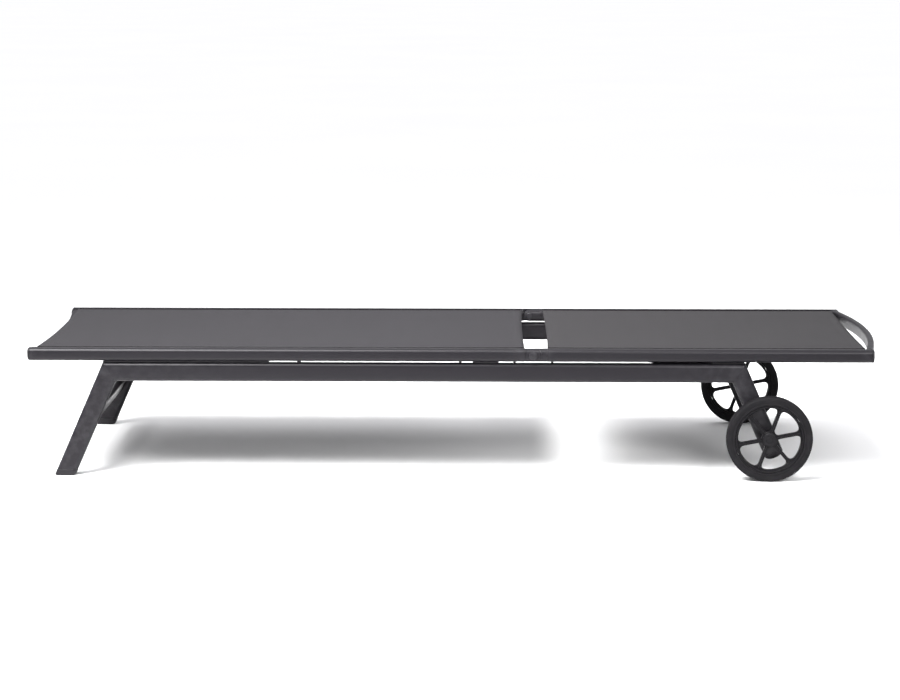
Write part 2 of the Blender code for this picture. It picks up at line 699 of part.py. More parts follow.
def wheel_rim(name, side):
    """The moulded wheel: hub, six spokes and the ring that carries the tyre."""
    centre = (AXLE_X, WHEEL_R)
    middle = WHEEL_FACE - WHEEL_W / 2
    bore = AXLE_R + GAP
    hub_out = WHEEL_FACE - HUB_RECESS
    hub_in = RAIL_SPACING / 2 + TUBE_W / 2 + HUB_CLEAR
    web = 0.005
    ring = WHEEL_W / 2 - 0.002
    ring_r = RIM_R - GAP
    profile = [(bore, hub_in), (HUB_R - 0.002, hub_in), (HUB_R, middle - web),
               (WINDOW_R + 0.002, middle - web), (WINDOW_R + 0.002, middle - ring),
               (ring_r, middle - ring), (ring_r, middle + ring), (WINDOW_R + 0.002, middle + ring),
               (WINDOW_R + 0.002, middle + web), (HUB_R, middle + web), (HUB_R, hub_out),
               (bore, hub_out)]
    pivot = (centre[0], 0.0, centre[1])
    obj = turned(name, [(r, side * y) for r, y in profile], centre, WHEEL_PLASTIC,
                 segments=WHEEL_SEGMENTS, pivot=pivot)
    depth = sorted(side * y for y in (middle - 0.02, middle + 0.02))
    for k in range(SPOKES):
        outline = [(centre[0] + x, centre[1] + z) for x, z in window(k)]
        boolean(obj, "DIFFERENCE", extrude_y(f"{name}_window{k}", outline, depth, WHEEL_PLASTIC))
    return obj


def tyre(name, side):
    centre = (AXLE_X, WHEEL_R)
    middle = WHEEL_FACE - WHEEL_W / 2
    half = WHEEL_W / 2
    profile = [(RIM_R, middle - half), (WHEEL_R - 0.007, middle - half),
               (WHEEL_R - 0.002, middle - half + 0.003), (WHEEL_R, middle - half + 0.008),
               (WHEEL_R, middle + half - 0.008), (WHEEL_R - 0.002, middle + half - 0.003),
               (WHEEL_R - 0.007, middle + half), (RIM_R, middle + half)]
    pivot = (centre[0], 0.0, centre[1])
    return turned(name, [(r, side * y) for r, y in profile], centre, RUBBER,
                  segments=WHEEL_SEGMENTS, pivot=pivot)


def hub_cap(name, side):
    face = WHEEL_FACE - HUB_RECESS + GAP
    outline = [(0.0, face), (HUB_R, face), (HUB_R, face + 0.0025), (HUB_R - 0.003, face + 0.004),
               (0.006, face + 0.0042), (0.0055, face + 0.0047), (0.0, face + 0.0047)]
    return pin_shape(name, outline, side, (AXLE_X, WHEEL_R), WHEEL_PLASTIC)


def build_base():
    seat_rail = (FOOT_END + CAP_DEPTH + GAP, SEAT_RAIL_END)
    floor = ((0.0, 0.0, FOOT_CAP_H), Vector((0.0, 0.0, 1.0)))
    down, _ = leg_axes(1)
    between = (BASE_TOP + GAP, TOP - RAIL_H - GAP)
    for label, side in SIDES:
        middle = side * RAIL_SPACING / 2
        base_rail(f"base_rail_{label}", side)
        leg(f"front_leg_{label}", FRONT_CORNER, -1, side, floor)
        end = leg_point(REAR_CORNER, 1, side) + down * LEG_PAST_AXLE
        rear = leg(f"rear_leg_{label}", REAR_CORNER, 1, side, (end, down))
        through = (middle - TUBE_W, middle + TUBE_W)
        hole = rod_y(f"rear_leg_hole_{label}", AXLE_R + GAP, through, (AXLE_X, WHEEL_R), STEEL)
        boolean(rear, "DIFFERENCE", hole)
        foot_cap(f"foot_cap_{label}", side)
        rear_cap(f"rear_cap_{label}", side)
        rail(f"seat_rail_{label}", seat_rail, side)
        end_cap(f"seat_end_cap_{label}", FOOT_END, -1, side, CAP_DOMED)
        keder(f"seat_keder_{label}", (SEAT_SLING[0], SEAT_SLING[1] - 0.001), side)
        fixed_knuckle(f"hinge_fixed_{label}", side)
        pivot_bolt(f"pivot_bolt_{label}", side)
        rack(f"prop_rack_{label}", side)
        for place, x_range in SPACERS:
            block(f"spacer_{place}_{label}", x_range, middle, SPACER_W, between, PLASTIC)
        block(f"rest_pad_{label}", REST_PAD, middle, REST_PAD_W, between, RUBBER)
    bowed_bar("foot_bar", FOOT_BAR, FOOT_BAR_SECTION, FOOT_BAR_BOW)
    front_x = leg_middle(FRONT_CORNER, -1, FRONT_BAR_Z) - FRONT_BAR_OUT / math.cos(SLANT)
    cross_bar("front_crossbar", (front_x, FRONT_BAR_Z), LEG_BAR_SECTION, -1)
    cross_bar("middle_crossbar", MIDDLE_BAR, MIDDLE_BAR_SECTION, 0)
    rear_x = leg_middle(REAR_CORNER, 1, REAR_BAR_Z)
    cross_bar("rear_crossbar", (rear_x, REAR_BAR_Z), LEG_BAR_SECTION, 1)
    sling("seat_sling", SEAT_SLING, SEAT_SAG, SEAT_HOLLOW)
    reach = WHEEL_FACE - 0.0035
    rod_y("axle", AXLE_R, (-reach, reach), (AXLE_X, WHEEL_R), STEEL)


def build_backrest():
    back_rail = (BACK_RAIL_START, RAIL_HEAD_END - CAP_DEPTH - GAP)
    for label, side in SIDES:
        rail(f"back_rail_{label}", back_rail, side)
        end_cap(f"back_end_cap_{label}", RAIL_HEAD_END, 1, side, CAP_FLAT)
        keder(f"back_keder_{label}", (BACK_SLING[0] + 0.001, BACK_SLING[1]), side)
        moving_knuckle(f"hinge_moving_{label}", side)
        prop_bracket(f"prop_bracket_{label}", side)
    bowed_bar("head_bar", HEAD_BAR, HEAD_BAR_SECTION, HEAD_BAR_BOW)
    for place, x in BACK_BARS:
        bowed_bar(f"back_crossbar_{place}", (x, BACK_BAR_Z), BACK_BAR_SECTION, BACK_BAR_BOW)
    sling("back_sling", BACK_SLING, BACK_SAG, BACK_HOLLOW)


def build_prop():
    for label, side in SIDES:
        prop_arm(f"prop_arm_{label}", side)
    reach = RACK_Y[1] - 0.0005
    rod_y("prop_foot_bar", PROP_BAR_R, (-reach, reach), prop_foot(), PAINT,
          pivot=(PROP_PIVOT[0], 0.0, PROP_PIVOT[1]))


def build_wheels():
    for label, side in SIDES:
        wheel_rim(f"wheel_rim_{label}", side)
        tyre(f"tyre_{label}", side)
        hub_cap(f"hub_cap_{label}", side)


clear_scene()
build_base()
build_backrest()
build_prop()
build_wheels()
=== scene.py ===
import math

import bmesh
import bpy
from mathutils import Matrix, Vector
from mathutils.geometry import tessellate_polygon


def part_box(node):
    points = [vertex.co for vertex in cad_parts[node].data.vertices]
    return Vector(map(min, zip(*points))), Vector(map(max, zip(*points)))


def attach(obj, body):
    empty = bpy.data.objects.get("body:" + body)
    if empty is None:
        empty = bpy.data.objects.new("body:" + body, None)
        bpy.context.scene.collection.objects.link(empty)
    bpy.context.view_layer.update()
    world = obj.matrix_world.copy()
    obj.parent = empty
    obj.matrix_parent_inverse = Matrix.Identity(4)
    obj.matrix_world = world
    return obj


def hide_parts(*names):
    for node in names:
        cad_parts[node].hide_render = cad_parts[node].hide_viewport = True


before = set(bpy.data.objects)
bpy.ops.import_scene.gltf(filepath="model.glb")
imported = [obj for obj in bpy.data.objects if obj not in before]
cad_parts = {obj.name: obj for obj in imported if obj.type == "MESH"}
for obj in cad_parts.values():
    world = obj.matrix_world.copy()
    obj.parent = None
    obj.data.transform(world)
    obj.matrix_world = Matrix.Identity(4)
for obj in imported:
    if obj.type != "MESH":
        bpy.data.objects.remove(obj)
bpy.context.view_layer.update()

# Sizes that the frame's boxes don't give. Places come from the boxes.
GAP = 0.0003                  # left free between pieces that meet
SLANT = math.radians(24.0)    # legs from the vertical
RAIL_R = 0.010
TUBE_R = 0.010
GROOVE_IN = 0.0025            # groove's middle, inward from a rail's middle
GROOVE_DOWN = 0.0055
GROOVE_R = 0.0033
SLOT_W = 0.0028
LIP_DROP = 0.002
REAR_CAP_DEPTH = 0.014

HUB_R = 0.016
RIM_R = 0.080
WINDOW_R = 0.073
SPOKES = 6
SPOKE_W = 0.008
SPOKE_TURN = math.radians(11.0)
RIB_HALF = 0.0011             # half the width of the rib on a spoke
RIB_H = 0.0022                # how far it stands out of the web
WHEEL_SEGMENTS = 144

# Bars: a section is (wide, high) or (wide, high, corner radius), a bow is along (x, z).
LEG_BAR = (0.018, 0.033)
MIDDLE_BAR = (0.050, 0.022)
STRAIGHT_BAR_R = 0.004
FOOT_BAR = (0.018, 0.024, 0.006)
FOOT_BAR_BOW = (0.0, -0.038)
FOOT_BAR_IN = 0.013           # from the seat rails' foot end to the bar's middle
HEAD_BAR_W = 0.016
HEAD_BAR_R = 0.005
HEAD_BAR_BOW = (0.032, 0.0)
CAP_REACH = 0.0063            # a back rail's cap, beyond the rail's end
HEAD_BAR_IN = 0.008           # from the cap's end to the bar's middle
BACK_BAR = (0.020, 0.020, 0.006)
BACK_BAR_BOW = (0.0, -0.022)
BACK_BAR_DROP = 0.002         # its ends' middle, below the rails' middle
BUMPER_X = (0.009, 0.135, 0.223)
BUMPER = (0.006, 0.016, 0.002)

CLOTH_T = 0.0010
CLOTH_DOWN = 0.0011           # the cloth's middle below the rails' top, at the rails
SEAT_SAG = (0.005, 0.009)     # at a sling's ends and in its middle
BACK_SAG = (0.004, 0.008)
SEAT_HOLLOW = (0.004, 0.003)  # how far a sling's two free edges curve in
BACK_HOLLOW = (0.003, 0.0)
HEM_W = 0.024
TAPE_W = 0.0120
TAPE_T = 0.0004

SIDES = (("left", -1), ("right", 1))

RAIL_LO, RAIL_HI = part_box("seat_rail_right")
RAIL_W = RAIL_HI.y - RAIL_LO.y
RAIL_H = RAIL_HI.z - RAIL_LO.z
RAIL_Y = (RAIL_LO.y + RAIL_HI.y) / 2
TOP = RAIL_HI.z
RAIL_Z = TOP - RAIL_H / 2
TUBE_LO, TUBE_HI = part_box("base_rail_right")
TUBE_W = TUBE_HI.y - TUBE_LO.y
TUBE_H = TUBE_HI.z - TUBE_LO.z
WHEEL_LO, WHEEL_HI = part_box("tyre_right")
WHEEL_R = (WHEEL_HI.z - WHEEL_LO.z) / 2
AXLE = ((WHEEL_LO.x + WHEEL_HI.x) / 2, WHEEL_R)


# ---------------------------------------------------------------- mesh helpers

def mesh_object(name, points, faces, smooth=35.0):
    mesh = bpy.data.meshes.new(name)
    mesh.from_pydata([tuple(p) for p in points], [], faces)
    work = bmesh.new()
    work.from_mesh(mesh)
    bmesh.ops.recalc_face_normals(work, faces=work.faces)
    work.to_mesh(mesh)
    work.free()
    mesh.shade_smooth()
    mesh.set_sharp_from_angle(angle=math.radians(smooth))
    obj = bpy.data.objects.new(name, mesh)
    bpy.context.scene.collection.objects.link(obj)
    return obj


def loft(name, rings, closed=False, smooth=35.0):
    """A skin over rings of equal counts. Closed joins the last ring to the first."""
    count = len(rings[0])
    points = [p for ring in rings for p in ring]
    faces = []
    levels = len(rings)
    for level in range(levels if closed else levels - 1):
        low = level * count
        high = (level + 1) % levels * count
        for i in range(count):
            j = (i + 1) % count
            faces.append((low + i, low + j, high + j, high + i))
    if not closed:
        for first in (0, (levels - 1) * count):
            loop = [Vector(points[first + i]) for i in range(count)]
            faces.extend(tuple(first + k for k in cap) for cap in tessellate_polygon([loop]))
    return mesh_object(name, points, faces, smooth)


def applied(obj):
    """Replaces an object's mesh by its evaluated one, and drops its modifiers."""
    bpy.context.view_layer.update()
    graph = bpy.context.evaluated_depsgraph_get()
    mesh = bpy.data.meshes.new_from_object(obj.evaluated_get(graph))
    tools = {m.object for m in obj.modifiers if m.type == "BOOLEAN"}
    obj.modifiers.clear()
    obj.data = mesh
    for tool in tools:
        bpy.data.objects.remove(tool, do_unlink=True)
    return obj


def boolean(obj, operation, tool):
    modifier = obj.modifiers.new(operation.lower(), "BOOLEAN")
    modifier.operation = operation
    modifier.object = tool
    tool.hide_render = True


def bevel(obj, width, angle):
    modifier = obj.modifiers.new("edges", "BEVEL")
    modifier.width = width
    modifier.segments = 2
    modifier.limit_method = "ANGLE"
    modifier.angle_limit = math.radians(angle)
    modifier.miter_outer = "MITER_ARC"
    even = obj.modifiers.new("shading", "WEIGHTED_NORMAL")
    even.keep_sharp = False
    even.weight = 80


def arc(centre, radius, start, end, steps):
    turns = [math.radians(start + (end - start) * k / steps) for k in range(steps + 1)]
    return [(centre[0] + radius * math.cos(t), centre[1] + radius * math.sin(t)) for t in turns]


def rounded_rect(width, height, radius, steps=8):
    x = width / 2 - radius
    y = height / 2 - radius
    outline = []
    for sx, sy, start in ((1, 1, 0), (-1, 1, 90), (-1, -1, 180), (1, -1, 270)):
        outline += arc((sx * x, sy * y), radius, start, start + 90, steps)
    return outline


def circle(centre, radius, count):
    return arc(centre, radius, 0, 360 - 360 / count, count - 1)


def turned(name, profile, side, smooth=30.0):
    """A solid of revolution about the wheels' axle: profile is a closed (radius, |y|) outline."""
    rings = []
    for k in range(WHEEL_SEGMENTS):
        t = 2 * math.pi * k / WHEEL_SEGMENTS
        ring = [(AXLE[0] + r * math.cos(t), side * y, AXLE[1] + r * math.sin(t)) for r, y in profile]
        rings.append(ring)
    return loft(name, rings, closed=True, smooth=smooth)


def domed(name, centre, profile, side):
    """Like turned, but its outline starts and ends near its own axis, along Y."""
    rings = [[(x, side * y, z) for x, z in circle(centre, r, 48)] for r, y in profile]
    return loft(name, rings, smooth=30.0)


def place(obj, body, slot, look, *nodes):
    """Gives a piece its look and its body, and hides the CAD nodes that it stands for."""
    obj.data.materials.clear()
    obj.data.materials.append(look)
    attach(obj, body)
    if nodes:
        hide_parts(*nodes)
    return obj


# ---------------------------------------------------------------- materials

class Nodes:
    """Short names for building a material's node tree."""

    def __init__(self, name):
        self.material = bpy.data.materials.new(name)
        self.material.use_nodes = True
        self.tree = self.material.node_tree
        self.shader = self.tree.nodes["Principled BSDF"]

    def add(self, kind, **values):
        node = self.tree.nodes.new(kind)
        for key, value in values.items():
            setattr(node, key, value)
        return node

    def link(self, source, target):
        self.tree.links.new(source, target)

    def math(self, operation, a, b=None):
        node = self.add("ShaderNodeMath", operation=operation)
        for slot, value in enumerate((a, b)):
            if value is None:
                continue
            if isinstance(value, (int, float)):
                node.inputs[slot].default_value = value
            else:
                self.link(value, node.inputs[slot])
        return node.outputs[0]

    def place(self, scale):
        where = self.add("ShaderNodeTexCoord")
        mapping = self.add("ShaderNodeMapping")
        mapping.inputs["Scale"].default_value = scale
        self.link(where.outputs["Object"], mapping.inputs["Vector"])
        return mapping.outputs["Vector"]

    def noise(self, scale, detail, roughness=0.5, stretch=(1.0, 1.0, 1.0)):
        node = self.add("ShaderNodeTexNoise")
        node.inputs["Scale"].default_value = scale
        node.inputs["Detail"].default_value = detail
        node.inputs["Roughness"].default_value = roughness
        self.link(self.place(stretch), node.inputs["Vector"])
        return node.outputs["Fac"]

    def span(self, value, low, high, from_low=0.0, from_high=1.0):
        node = self.add("ShaderNodeMapRange")
        node.inputs["From Min"].default_value = from_low
        node.inputs["From Max"].default_value = from_high
        node.inputs["To Min"].default_value = low
        node.inputs["To Max"].default_value = high
        self.link(value, node.inputs["Value"])
        return node.outputs["Result"]

    def mix(self, factor, a, b, blend="MIX"):
        node = self.add("ShaderNodeMix", data_type="RGBA", blend_type=blend)
        if isinstance(factor, (int, float)):
            node.inputs["Factor"].default_value = factor
        else:
            self.link(factor, node.inputs["Factor"])
        for slot, value in ((6, a), (7, b)):
            if isinstance(value, tuple):
                node.inputs[slot].default_value = (*value, 1.0)
            else:
                self.link(value, node.inputs[slot])
        return node.outputs[2]

    def grey(self, value):
        node = self.add("ShaderNodeCombineColor")
        for slot in range(3):
            self.link(value, node.inputs[slot])
        return node.outputs[0]

    def bump(self, height, strength, distance, under=None):
        node = self.add("ShaderNodeBump")
        node.inputs["Strength"].default_value = strength
        node.inputs["Distance"].default_value = distance
        self.link(height, node.inputs["Height"])
        if under is not None:
            self.link(under, node.inputs["Normal"])
        return node.outputs["Normal"]

    def set(self, **values):
        for key, value in values.items():
            socket = self.shader.inputs[key.replace("_", " ")]
            if isinstance(value, tuple):
                value = (*value, 1.0)
            if isinstance(value, (int, float, tuple)):
                socket.default_value = value
            else:
                self.link(value, socket)
        return self.material


def powder_coat(name, colour, roughness):
    """Satin metallic powder coat: fine flakes, a slight orange peel and rubbed edges."""
    n = Nodes(name)
    flakes = n.noise(2600.0, 1.0)
    clouds = n.noise(7.0, 3.0)
    peel = n.noise(620.0, 2.0)
    grains = n.noise(2100.0, 2.0)
    light = tuple(c * 1.30 for c in colour)
    dark = tuple(c * 0.72 for c in colour)
    base = n.mix(n.span(flakes, 0.0, 1.0, 0.32, 0.68), dark, light)
    base = n.mix(n.span(clouds, 0.0, 0.10), base, tuple(c * 1.5 for c in colour))
    edge = n.add("ShaderNodeNewGeometry").outputs["Pointiness"]
    patches = n.span(n.noise(55.0, 5.0), 0, 1, 0.4, 0.7)
    rubbed = n.math("MULTIPLY", n.span(edge, 0.0, 0.30, 0.525, 0.60), patches)
    base = n.mix(rubbed, base, (0.08, 0.08, 0.085))
    normal = n.bump(peel, 0.10, 0.0006)
    normal = n.bump(grains, 0.12, 0.0002, under=normal)
    return n.set(Base_Color=base, Metallic=0.12, Normal=normal, Specular_IOR_Level=0.21,
                 Roughness=n.span(n.noise(35.0, 4.0), roughness - 0.05, roughness + 0.06))


def moulded_plastic(name, colour, roughness, shine=0.30):
    """Injection-moulded plastic: a fine spark-eroded grain and faint flow marks."""
    n = Nodes(name)
    flow = n.noise(14.0, 4.0, stretch=(1.0, 2.2, 0.6))
    base = n.mix(n.span(flow, 0.0, 1.0, 0.3, 0.7), tuple(c * 0.86 for c in colour),
                 tuple(c * 1.16 for c in colour))
    edge = n.add("ShaderNodeNewGeometry").outputs["Pointiness"]
    worn = n.span(edge, 0.0, 0.35, 0.53, 0.62)
    base = n.mix(worn, base, tuple(min(1.0, c * 2.2) for c in colour))
    normal = n.bump(n.noise(900.0, 2.0), 0.22, 0.00025)
    return n.set(Base_Color=base, Normal=normal, Specular_IOR_Level=shine,
                 Roughness=n.span(n.noise(40.0, 3.0), roughness - 0.06, roughness + 0.08))


def rubber(name, colour, dusty=0.0):
    """Matt rubber: a pore grain, and a little dust where it rolls."""
    n = Nodes(name)
    cloud = n.noise(24.0, 5.0, 0.6)
    base = n.mix(n.span(cloud, 0.0, 1.0, 0.3, 0.7), tuple(c * 0.80 for c in colour),
                 tuple(c * 1.25 for c in colour))
    if dusty:
        film = n.math("MULTIPLY", n.span(n.noise(60.0, 6.0, 0.65), 0.0, 1.0, 0.48, 0.72), dusty)
        base = n.mix(film, base, (0.06, 0.057, 0.054))
    normal = n.bump(n.noise(1400.0, 2.0), 0.25, 0.0002)
    return n.set(Base_Color=base, Normal=normal, Specular_IOR_Level=0.11,
                 Roughness=n.span(cloud, 0.60, 0.80))


def woven(name, colour, pitch=0.0016, shine=0.2):
    """Plastic-coated mesh cloth: a plain weave of round yarns, with painted shade in the openings and
    down the yarns' flanks.
    """
    n = Nodes(name)
    where = n.place((1 / pitch, 1 / pitch, 1 / pitch))
    parts = n.add("ShaderNodeSeparateXYZ")
    n.link(where, parts.inputs[0])
    along = n.math("SINE", n.math("MULTIPLY", parts.outputs["X"], math.pi))
    cross = n.math("SINE", n.math("MULTIPLY", parts.outputs["Y"], math.pi))
    warp = n.math("POWER", n.math("ABSOLUTE", cross), 0.6)
    weft = n.math("POWER", n.math("ABSOLUTE", along), 0.6)
    half_x = n.math("SINE", n.math("MULTIPLY", parts.outputs["X"], math.pi / 2))
    half_y = n.math("SINE", n.math("MULTIPLY", parts.outputs["Y"], math.pi / 2))
    over = n.math("GREATER_THAN", n.math("MULTIPLY", half_x, half_y), 0.0)
    top = n.math("ADD", n.math("MULTIPLY", over, warp),
                 n.math("MULTIPLY", n.math("SUBTRACT", 1.0, over), weft))
    hole = n.math("MAXIMUM", warp, weft)
    height = n.math("MULTIPLY", top, hole)
    streaks = n.noise(60.0, 2.0, stretch=(0.05, 1.0, 1.0))
    bars = n.noise(60.0, 2.0, stretch=(1.0, 0.05, 1.0))
    tint = n.math("ADD", n.span(streaks, -0.10, 0.10), n.span(bars, -0.08, 0.08))
    # Painted shade and highlight: the colour follows the weave's height, dark in the openings and down
    # the yarns' flanks, lighter on the crests.
    base = n.mix(n.span(height, 0.0, 1.0, 0.15, 0.85), tuple(c * 0.35 for c in colour),
                 tuple(c * 1.22 for c in colour))
    base = n.mix(1.0, base, n.grey(n.math("ADD", 1.0, tint)), blend="MULTIPLY")
    normal = n.bump(height, 0.55, pitch * 0.28)
    return n.set(Base_Color=base, Normal=normal, Specular_IOR_Level=shine,
                 Roughness=n.span(height, 0.78, 0.58))


def thread(name, colour):
    """Twisted sewing thread."""
    n = Nodes(name)
    twist = n.noise(2200.0, 2.0, stretch=(1.0, 0.25, 1.0))
    base = n.mix(n.span(twist, 0.0, 1.0, 0.3, 0.7), tuple(c * 0.7 for c in colour),
                 tuple(c * 1.3 for c in colour))
    return n.set(Base_Color=base, Normal=n.bump(twist, 0.4, 0.0002), Roughness=0.6)


def zinc(name):
    """Zinc plate: a brushed ground with a faint spangle."""
    n = Nodes(name)
    brush = n.noise(900.0, 3.0, stretch=(1.0, 0.04, 1.0))
    spangle = n.noise(110.0, 3.0)
    base = n.mix(n.span(spangle, 0.0, 1.0, 0.3, 0.7), (0.40, 0.40, 0.42), (0.55, 0.55, 0.56))
    return n.set(Base_Color=base, Metallic=1.0, Normal=n.bump(brush, 0.15, 0.0002),
                 Roughness=n.span(brush, 0.28, 0.42))


PAINT = powder_coat("anthracite_powder_coat", (0.0090, 0.0079, 0.0102), 0.37)
CAP = moulded_plastic("cap_plastic", (0.0098, 0.0090, 0.0108), 0.42, shine=0.22)
BOLT_CAP = moulded_plastic("bolt_cap_plastic", (0.013, 0.012, 0.0145), 0.38, shine=0.24)
WHEEL = moulded_plastic("wheel_plastic", (0.0056, 0.0052, 0.0062), 0.44, shine=0.12)
TYRE = rubber("tyre_rubber", (0.0064, 0.0059, 0.0070), dusty=0.07)
PAD = rubber("pad_rubber", (0.010, 0.010, 0.011))
SEAT_CLOTH = woven("seat_mesh_cloth", (0.0222, 0.0208, 0.0236))
BACK_CLOTH = woven("back_mesh_cloth", (0.0246, 0.0230, 0.0248))
TAPE = woven("edge_tape", (0.007, 0.006, 0.007), pitch=0.0011, shine=0.0)
THREAD = thread("stitching_thread", (0.026, 0.024, 0.027))
KEDER = moulded_plastic("keder_plastic", (0.016, 0.016, 0.017), 0.55)
ZINC = zinc("zinc_plate")


# ---------------------------------------------------------------- rails

def rail_shape():
    """A rail's outer shape without its groove, as (inward, up) points."""
    x = RAIL_W / 2 - RAIL_R
    y = RAIL_H / 2 - RAIL_R
    outline = [(GROOVE_IN - SLOT_W / 2, RAIL_H / 2)]
    for cx, cy, start in ((-x, y, 90), (-x, -y, 180), (x, -y, 270), (x, y - LIP_DROP, 0)):
        outline += arc((cx, cy), RAIL_R, start, start + 90, 10)
    outline.append((GROOVE_IN + SLOT_W / 2, RAIL_H / 2 - LIP_DROP))
    return outline


def rail_section():
    """The rail's section with eased lips and its cloth groove."""
    top = RAIL_H / 2
    ease = 0.0004
    slot = SLOT_W / 2
    outline = rail_shape()[1:-1]
    mouth = 90 - math.degrees(math.asin(slot / GROOVE_R))
    lips = arc((GROOVE_IN + slot + ease, top - LIP_DROP - ease), ease, 90, 180, 3)
    chamber = arc((GROOVE_IN, top - GROOVE_DOWN), GROOVE_R, mouth, mouth - 360 + 2 * (90 - mouth), 18)
    other = arc((GROOVE_IN - slot - ease, top - ease), ease, 0, 90, 3)
    return outline + lips + chamber + other


def across(outline, x, side, shrink=0.0):
    scale_u = 1 - 2 * shrink / RAIL_W
    scale_v = 1 - 2 * shrink / RAIL_H
    return [(x, side * (RAIL_Y - u * scale_u), RAIL_Z + v * scale_v) for u, v in outline]


def make_rail(kind, label, side, body):
    node = f"{kind}_rail_{label}"
    lo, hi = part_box(node)
    section = rail_section()
    ease = 0.0005
    stations = [lo.x + ease + (hi.x - lo.x - 2 * ease) * k / 24 for k in range(25)]
    rings = [across(section, lo.x, side, ease)]
    rings += [across(section, x, side) for x in stations]
    rings.append(across(section, hi.x, side, ease))
    place(loft(f"{node}_profile", rings, smooth=32), body, "frame_paint", PAINT, node)


def make_rail_cap(kind, label, side, body):
    """A domed push-in cap with a thin shadow line at the rail."""
    node = f"{kind}_end_cap_{label}"
    lo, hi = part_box(node)
    outward = -1 if kind == "seat" else 1
    face = lo.x if outward < 0 else hi.x
    plug = abs(hi.x - lo.x)
    rail_lo, rail_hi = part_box(f"{kind}_rail_{label}")
    depth = abs((rail_lo.x if outward < 0 else rail_hi.x) - face)
    shape = rail_shape()
    rings = []
    bulge = 12
    dome, inset = (depth - 0.0012, 0.0085) if kind == "seat" else (0.0022, 0.0024)
    for k in range(bulge + 1):
        t = k / bulge * math.pi / 2
        rings.append(across(shape, face - outward * (1 - math.cos(t)) * dome, side,
                            (1 - math.sin(t)) * inset + (0.0012 if k == 0 else 0.0)))
    rings.append(across(shape, face - outward * (depth - GAP - 0.0004), side))
    rings.append(across(shape, face - outward * (depth - GAP), side, 0.0004))
    rings.append(across(shape, face - outward * (depth - GAP), side, 0.0055))
    rings.append(across(shape, face - outward * plug, side, 0.0060))
    place(loft(f"{node}_dome", rings, smooth=40), body, "cap_plastic", CAP, node)


# ---------------------------------------------------------------- base frame

def leg_axes(lean):
    down = Vector((lean * math.sin(SLANT), 0.0, -math.cos(SLANT)))
    wide = Vector((math.cos(SLANT), 0.0, lean * math.sin(SLANT)))
    return down, wide


def leg_middle(lean, z):
    """X of a leg's centre line at height z."""
    corner = TUBE_LO.x if lean < 0 else TUBE_HI.x
    half = TUBE_H / 2 / math.cos(SLANT)
    return corner - lean * half + lean * (TUBE_HI.z - z) * math.tan(SLANT)


def mitre(lean):
    """A point and the normal of the mitre plane at a base corner."""
    corner = TUBE_LO.x if lean < 0 else TUBE_HI.x
    inner_x = leg_middle(lean, TUBE_LO.z) - lean * TUBE_H / 2 / math.cos(SLANT)
    along = Vector((inner_x - corner, 0.0, -TUBE_H)).normalized()
    return Vector((corner, 0.0, TUBE_HI.z)), Vector((along.z, 0.0, -along.x)) * lean


def cut_ring(outline, origin, along, wide, point, normal, shift=0.0):
    """A tube's section where a plane cuts it. outline is (y, across) points."""
    ring = []
    for u, w in outline:
        start = Vector(origin) + Vector((0.0, u, 0.0)) + wide * w
        distance = (Vector(point) - start).dot(normal) / along.dot(normal)
        ring.append(start + along * (distance + shift))
    return ring


def tube_section(inset=0.0, steps=8):
    return rounded_rect(TUBE_W - 2 * inset, TUBE_H - 2 * inset, TUBE_R - inset, steps)


def make_base_side(label, side):
    y = side * RAIL_Y
    ease = 0.0004
    x_axis = Vector((1.0, 0.0, 0.0))
    up = Vector((0.0, 0.0, 1.0))
    middle = (0.0, y, (TUBE_LO.z + TUBE_HI.z) / 2)
    ends = (mitre(-1), mitre(1))
    rings = [cut_ring(tube_section(ease), middle, x_axis, up, *ends[0])]
    rings.append(cut_ring(tube_section(), middle, x_axis, up, *ends[0], shift=ease))
    for x in (-0.4, 0.0, 0.4):
        rings.append([Vector((x, y + u, middle[2] + w)) for u, w in tube_section()])
    rings.append(cut_ring(tube_section(), middle, x_axis, up, *ends[1], shift=-ease))
    rings.append(cut_ring(tube_section(ease), middle, x_axis, up, *ends[1]))
    node = f"base_rail_{label}"
    place(loft(f"{node}_tube", rings), "base", "frame_paint", PAINT, node)
    for kind, lean, end in (("front", -1, ends[0]), ("rear", 1, ends[1])):
        make_leg(f"{kind}_leg_{label}", lean, y, end)
        weld_mitre(f"{kind}_corner_weld_{label}", y, end)


def rear_leg_end(node):
    """Where a rear leg's centre line ends."""
    reach = (WHEEL_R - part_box(node)[0].z - TUBE_H / 2 * math.sin(SLANT)) / math.cos(SLANT)
    return Vector((leg_middle(1, WHEEL_R), 0.0, WHEEL_R)) + leg_axes(1)[0] * reach


def make_leg(node, lean, y, top):
    down, wide = leg_axes(lean)
    origin = (leg_middle(lean, WHEEL_R), y, WHEEL_R)
    ease = 0.0004
    if lean < 0:
        bottom = (Vector((0.0, 0.0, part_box(node)[0].z)), Vector((0.0, 0.0, 1.0)))
    else:
        bottom = (rear_leg_end(node), down)
    rings = [cut_ring(tube_section(ease), origin, down, wide, *top, shift=GAP)]
    rings.append(cut_ring(tube_section(), origin, down, wide, *top, shift=GAP + ease))
    rings.append(cut_ring(tube_section(), origin, down, wide, *bottom, shift=-ease))
    rings.append(cut_ring(tube_section(ease), origin, down, wide, *bottom))
    place(loft(f"{node}_tube", rings), "base", "frame_paint", PAINT, node)


def bead(name, path, radius, ripple=0.12):
    """A weld bead along a loop of points, with a fine ripple."""
    pitch = 0.0022
    turns = [math.radians(45.0 * i) for i in range(8)]
    points = [Vector(p) for p in path]
    count = len(points)
    rings = []
    run = 0.0
    for k in range(count):
        before = points[k - 1]
        after = points[(k + 1) % count]
        along = (after - before).normalized()
        side = along.cross(Vector((0.31, 0.87, 0.38))).normalized()
        other = along.cross(side)
        run += (points[k] - before).length
        size = radius * (1 + ripple * math.sin(run / pitch * 2 * math.pi))
        rings.append([points[k] + side * size * math.cos(t) + other * size * math.sin(t)
                      for t in turns])
    return loft(name, rings, closed=True, smooth=60)


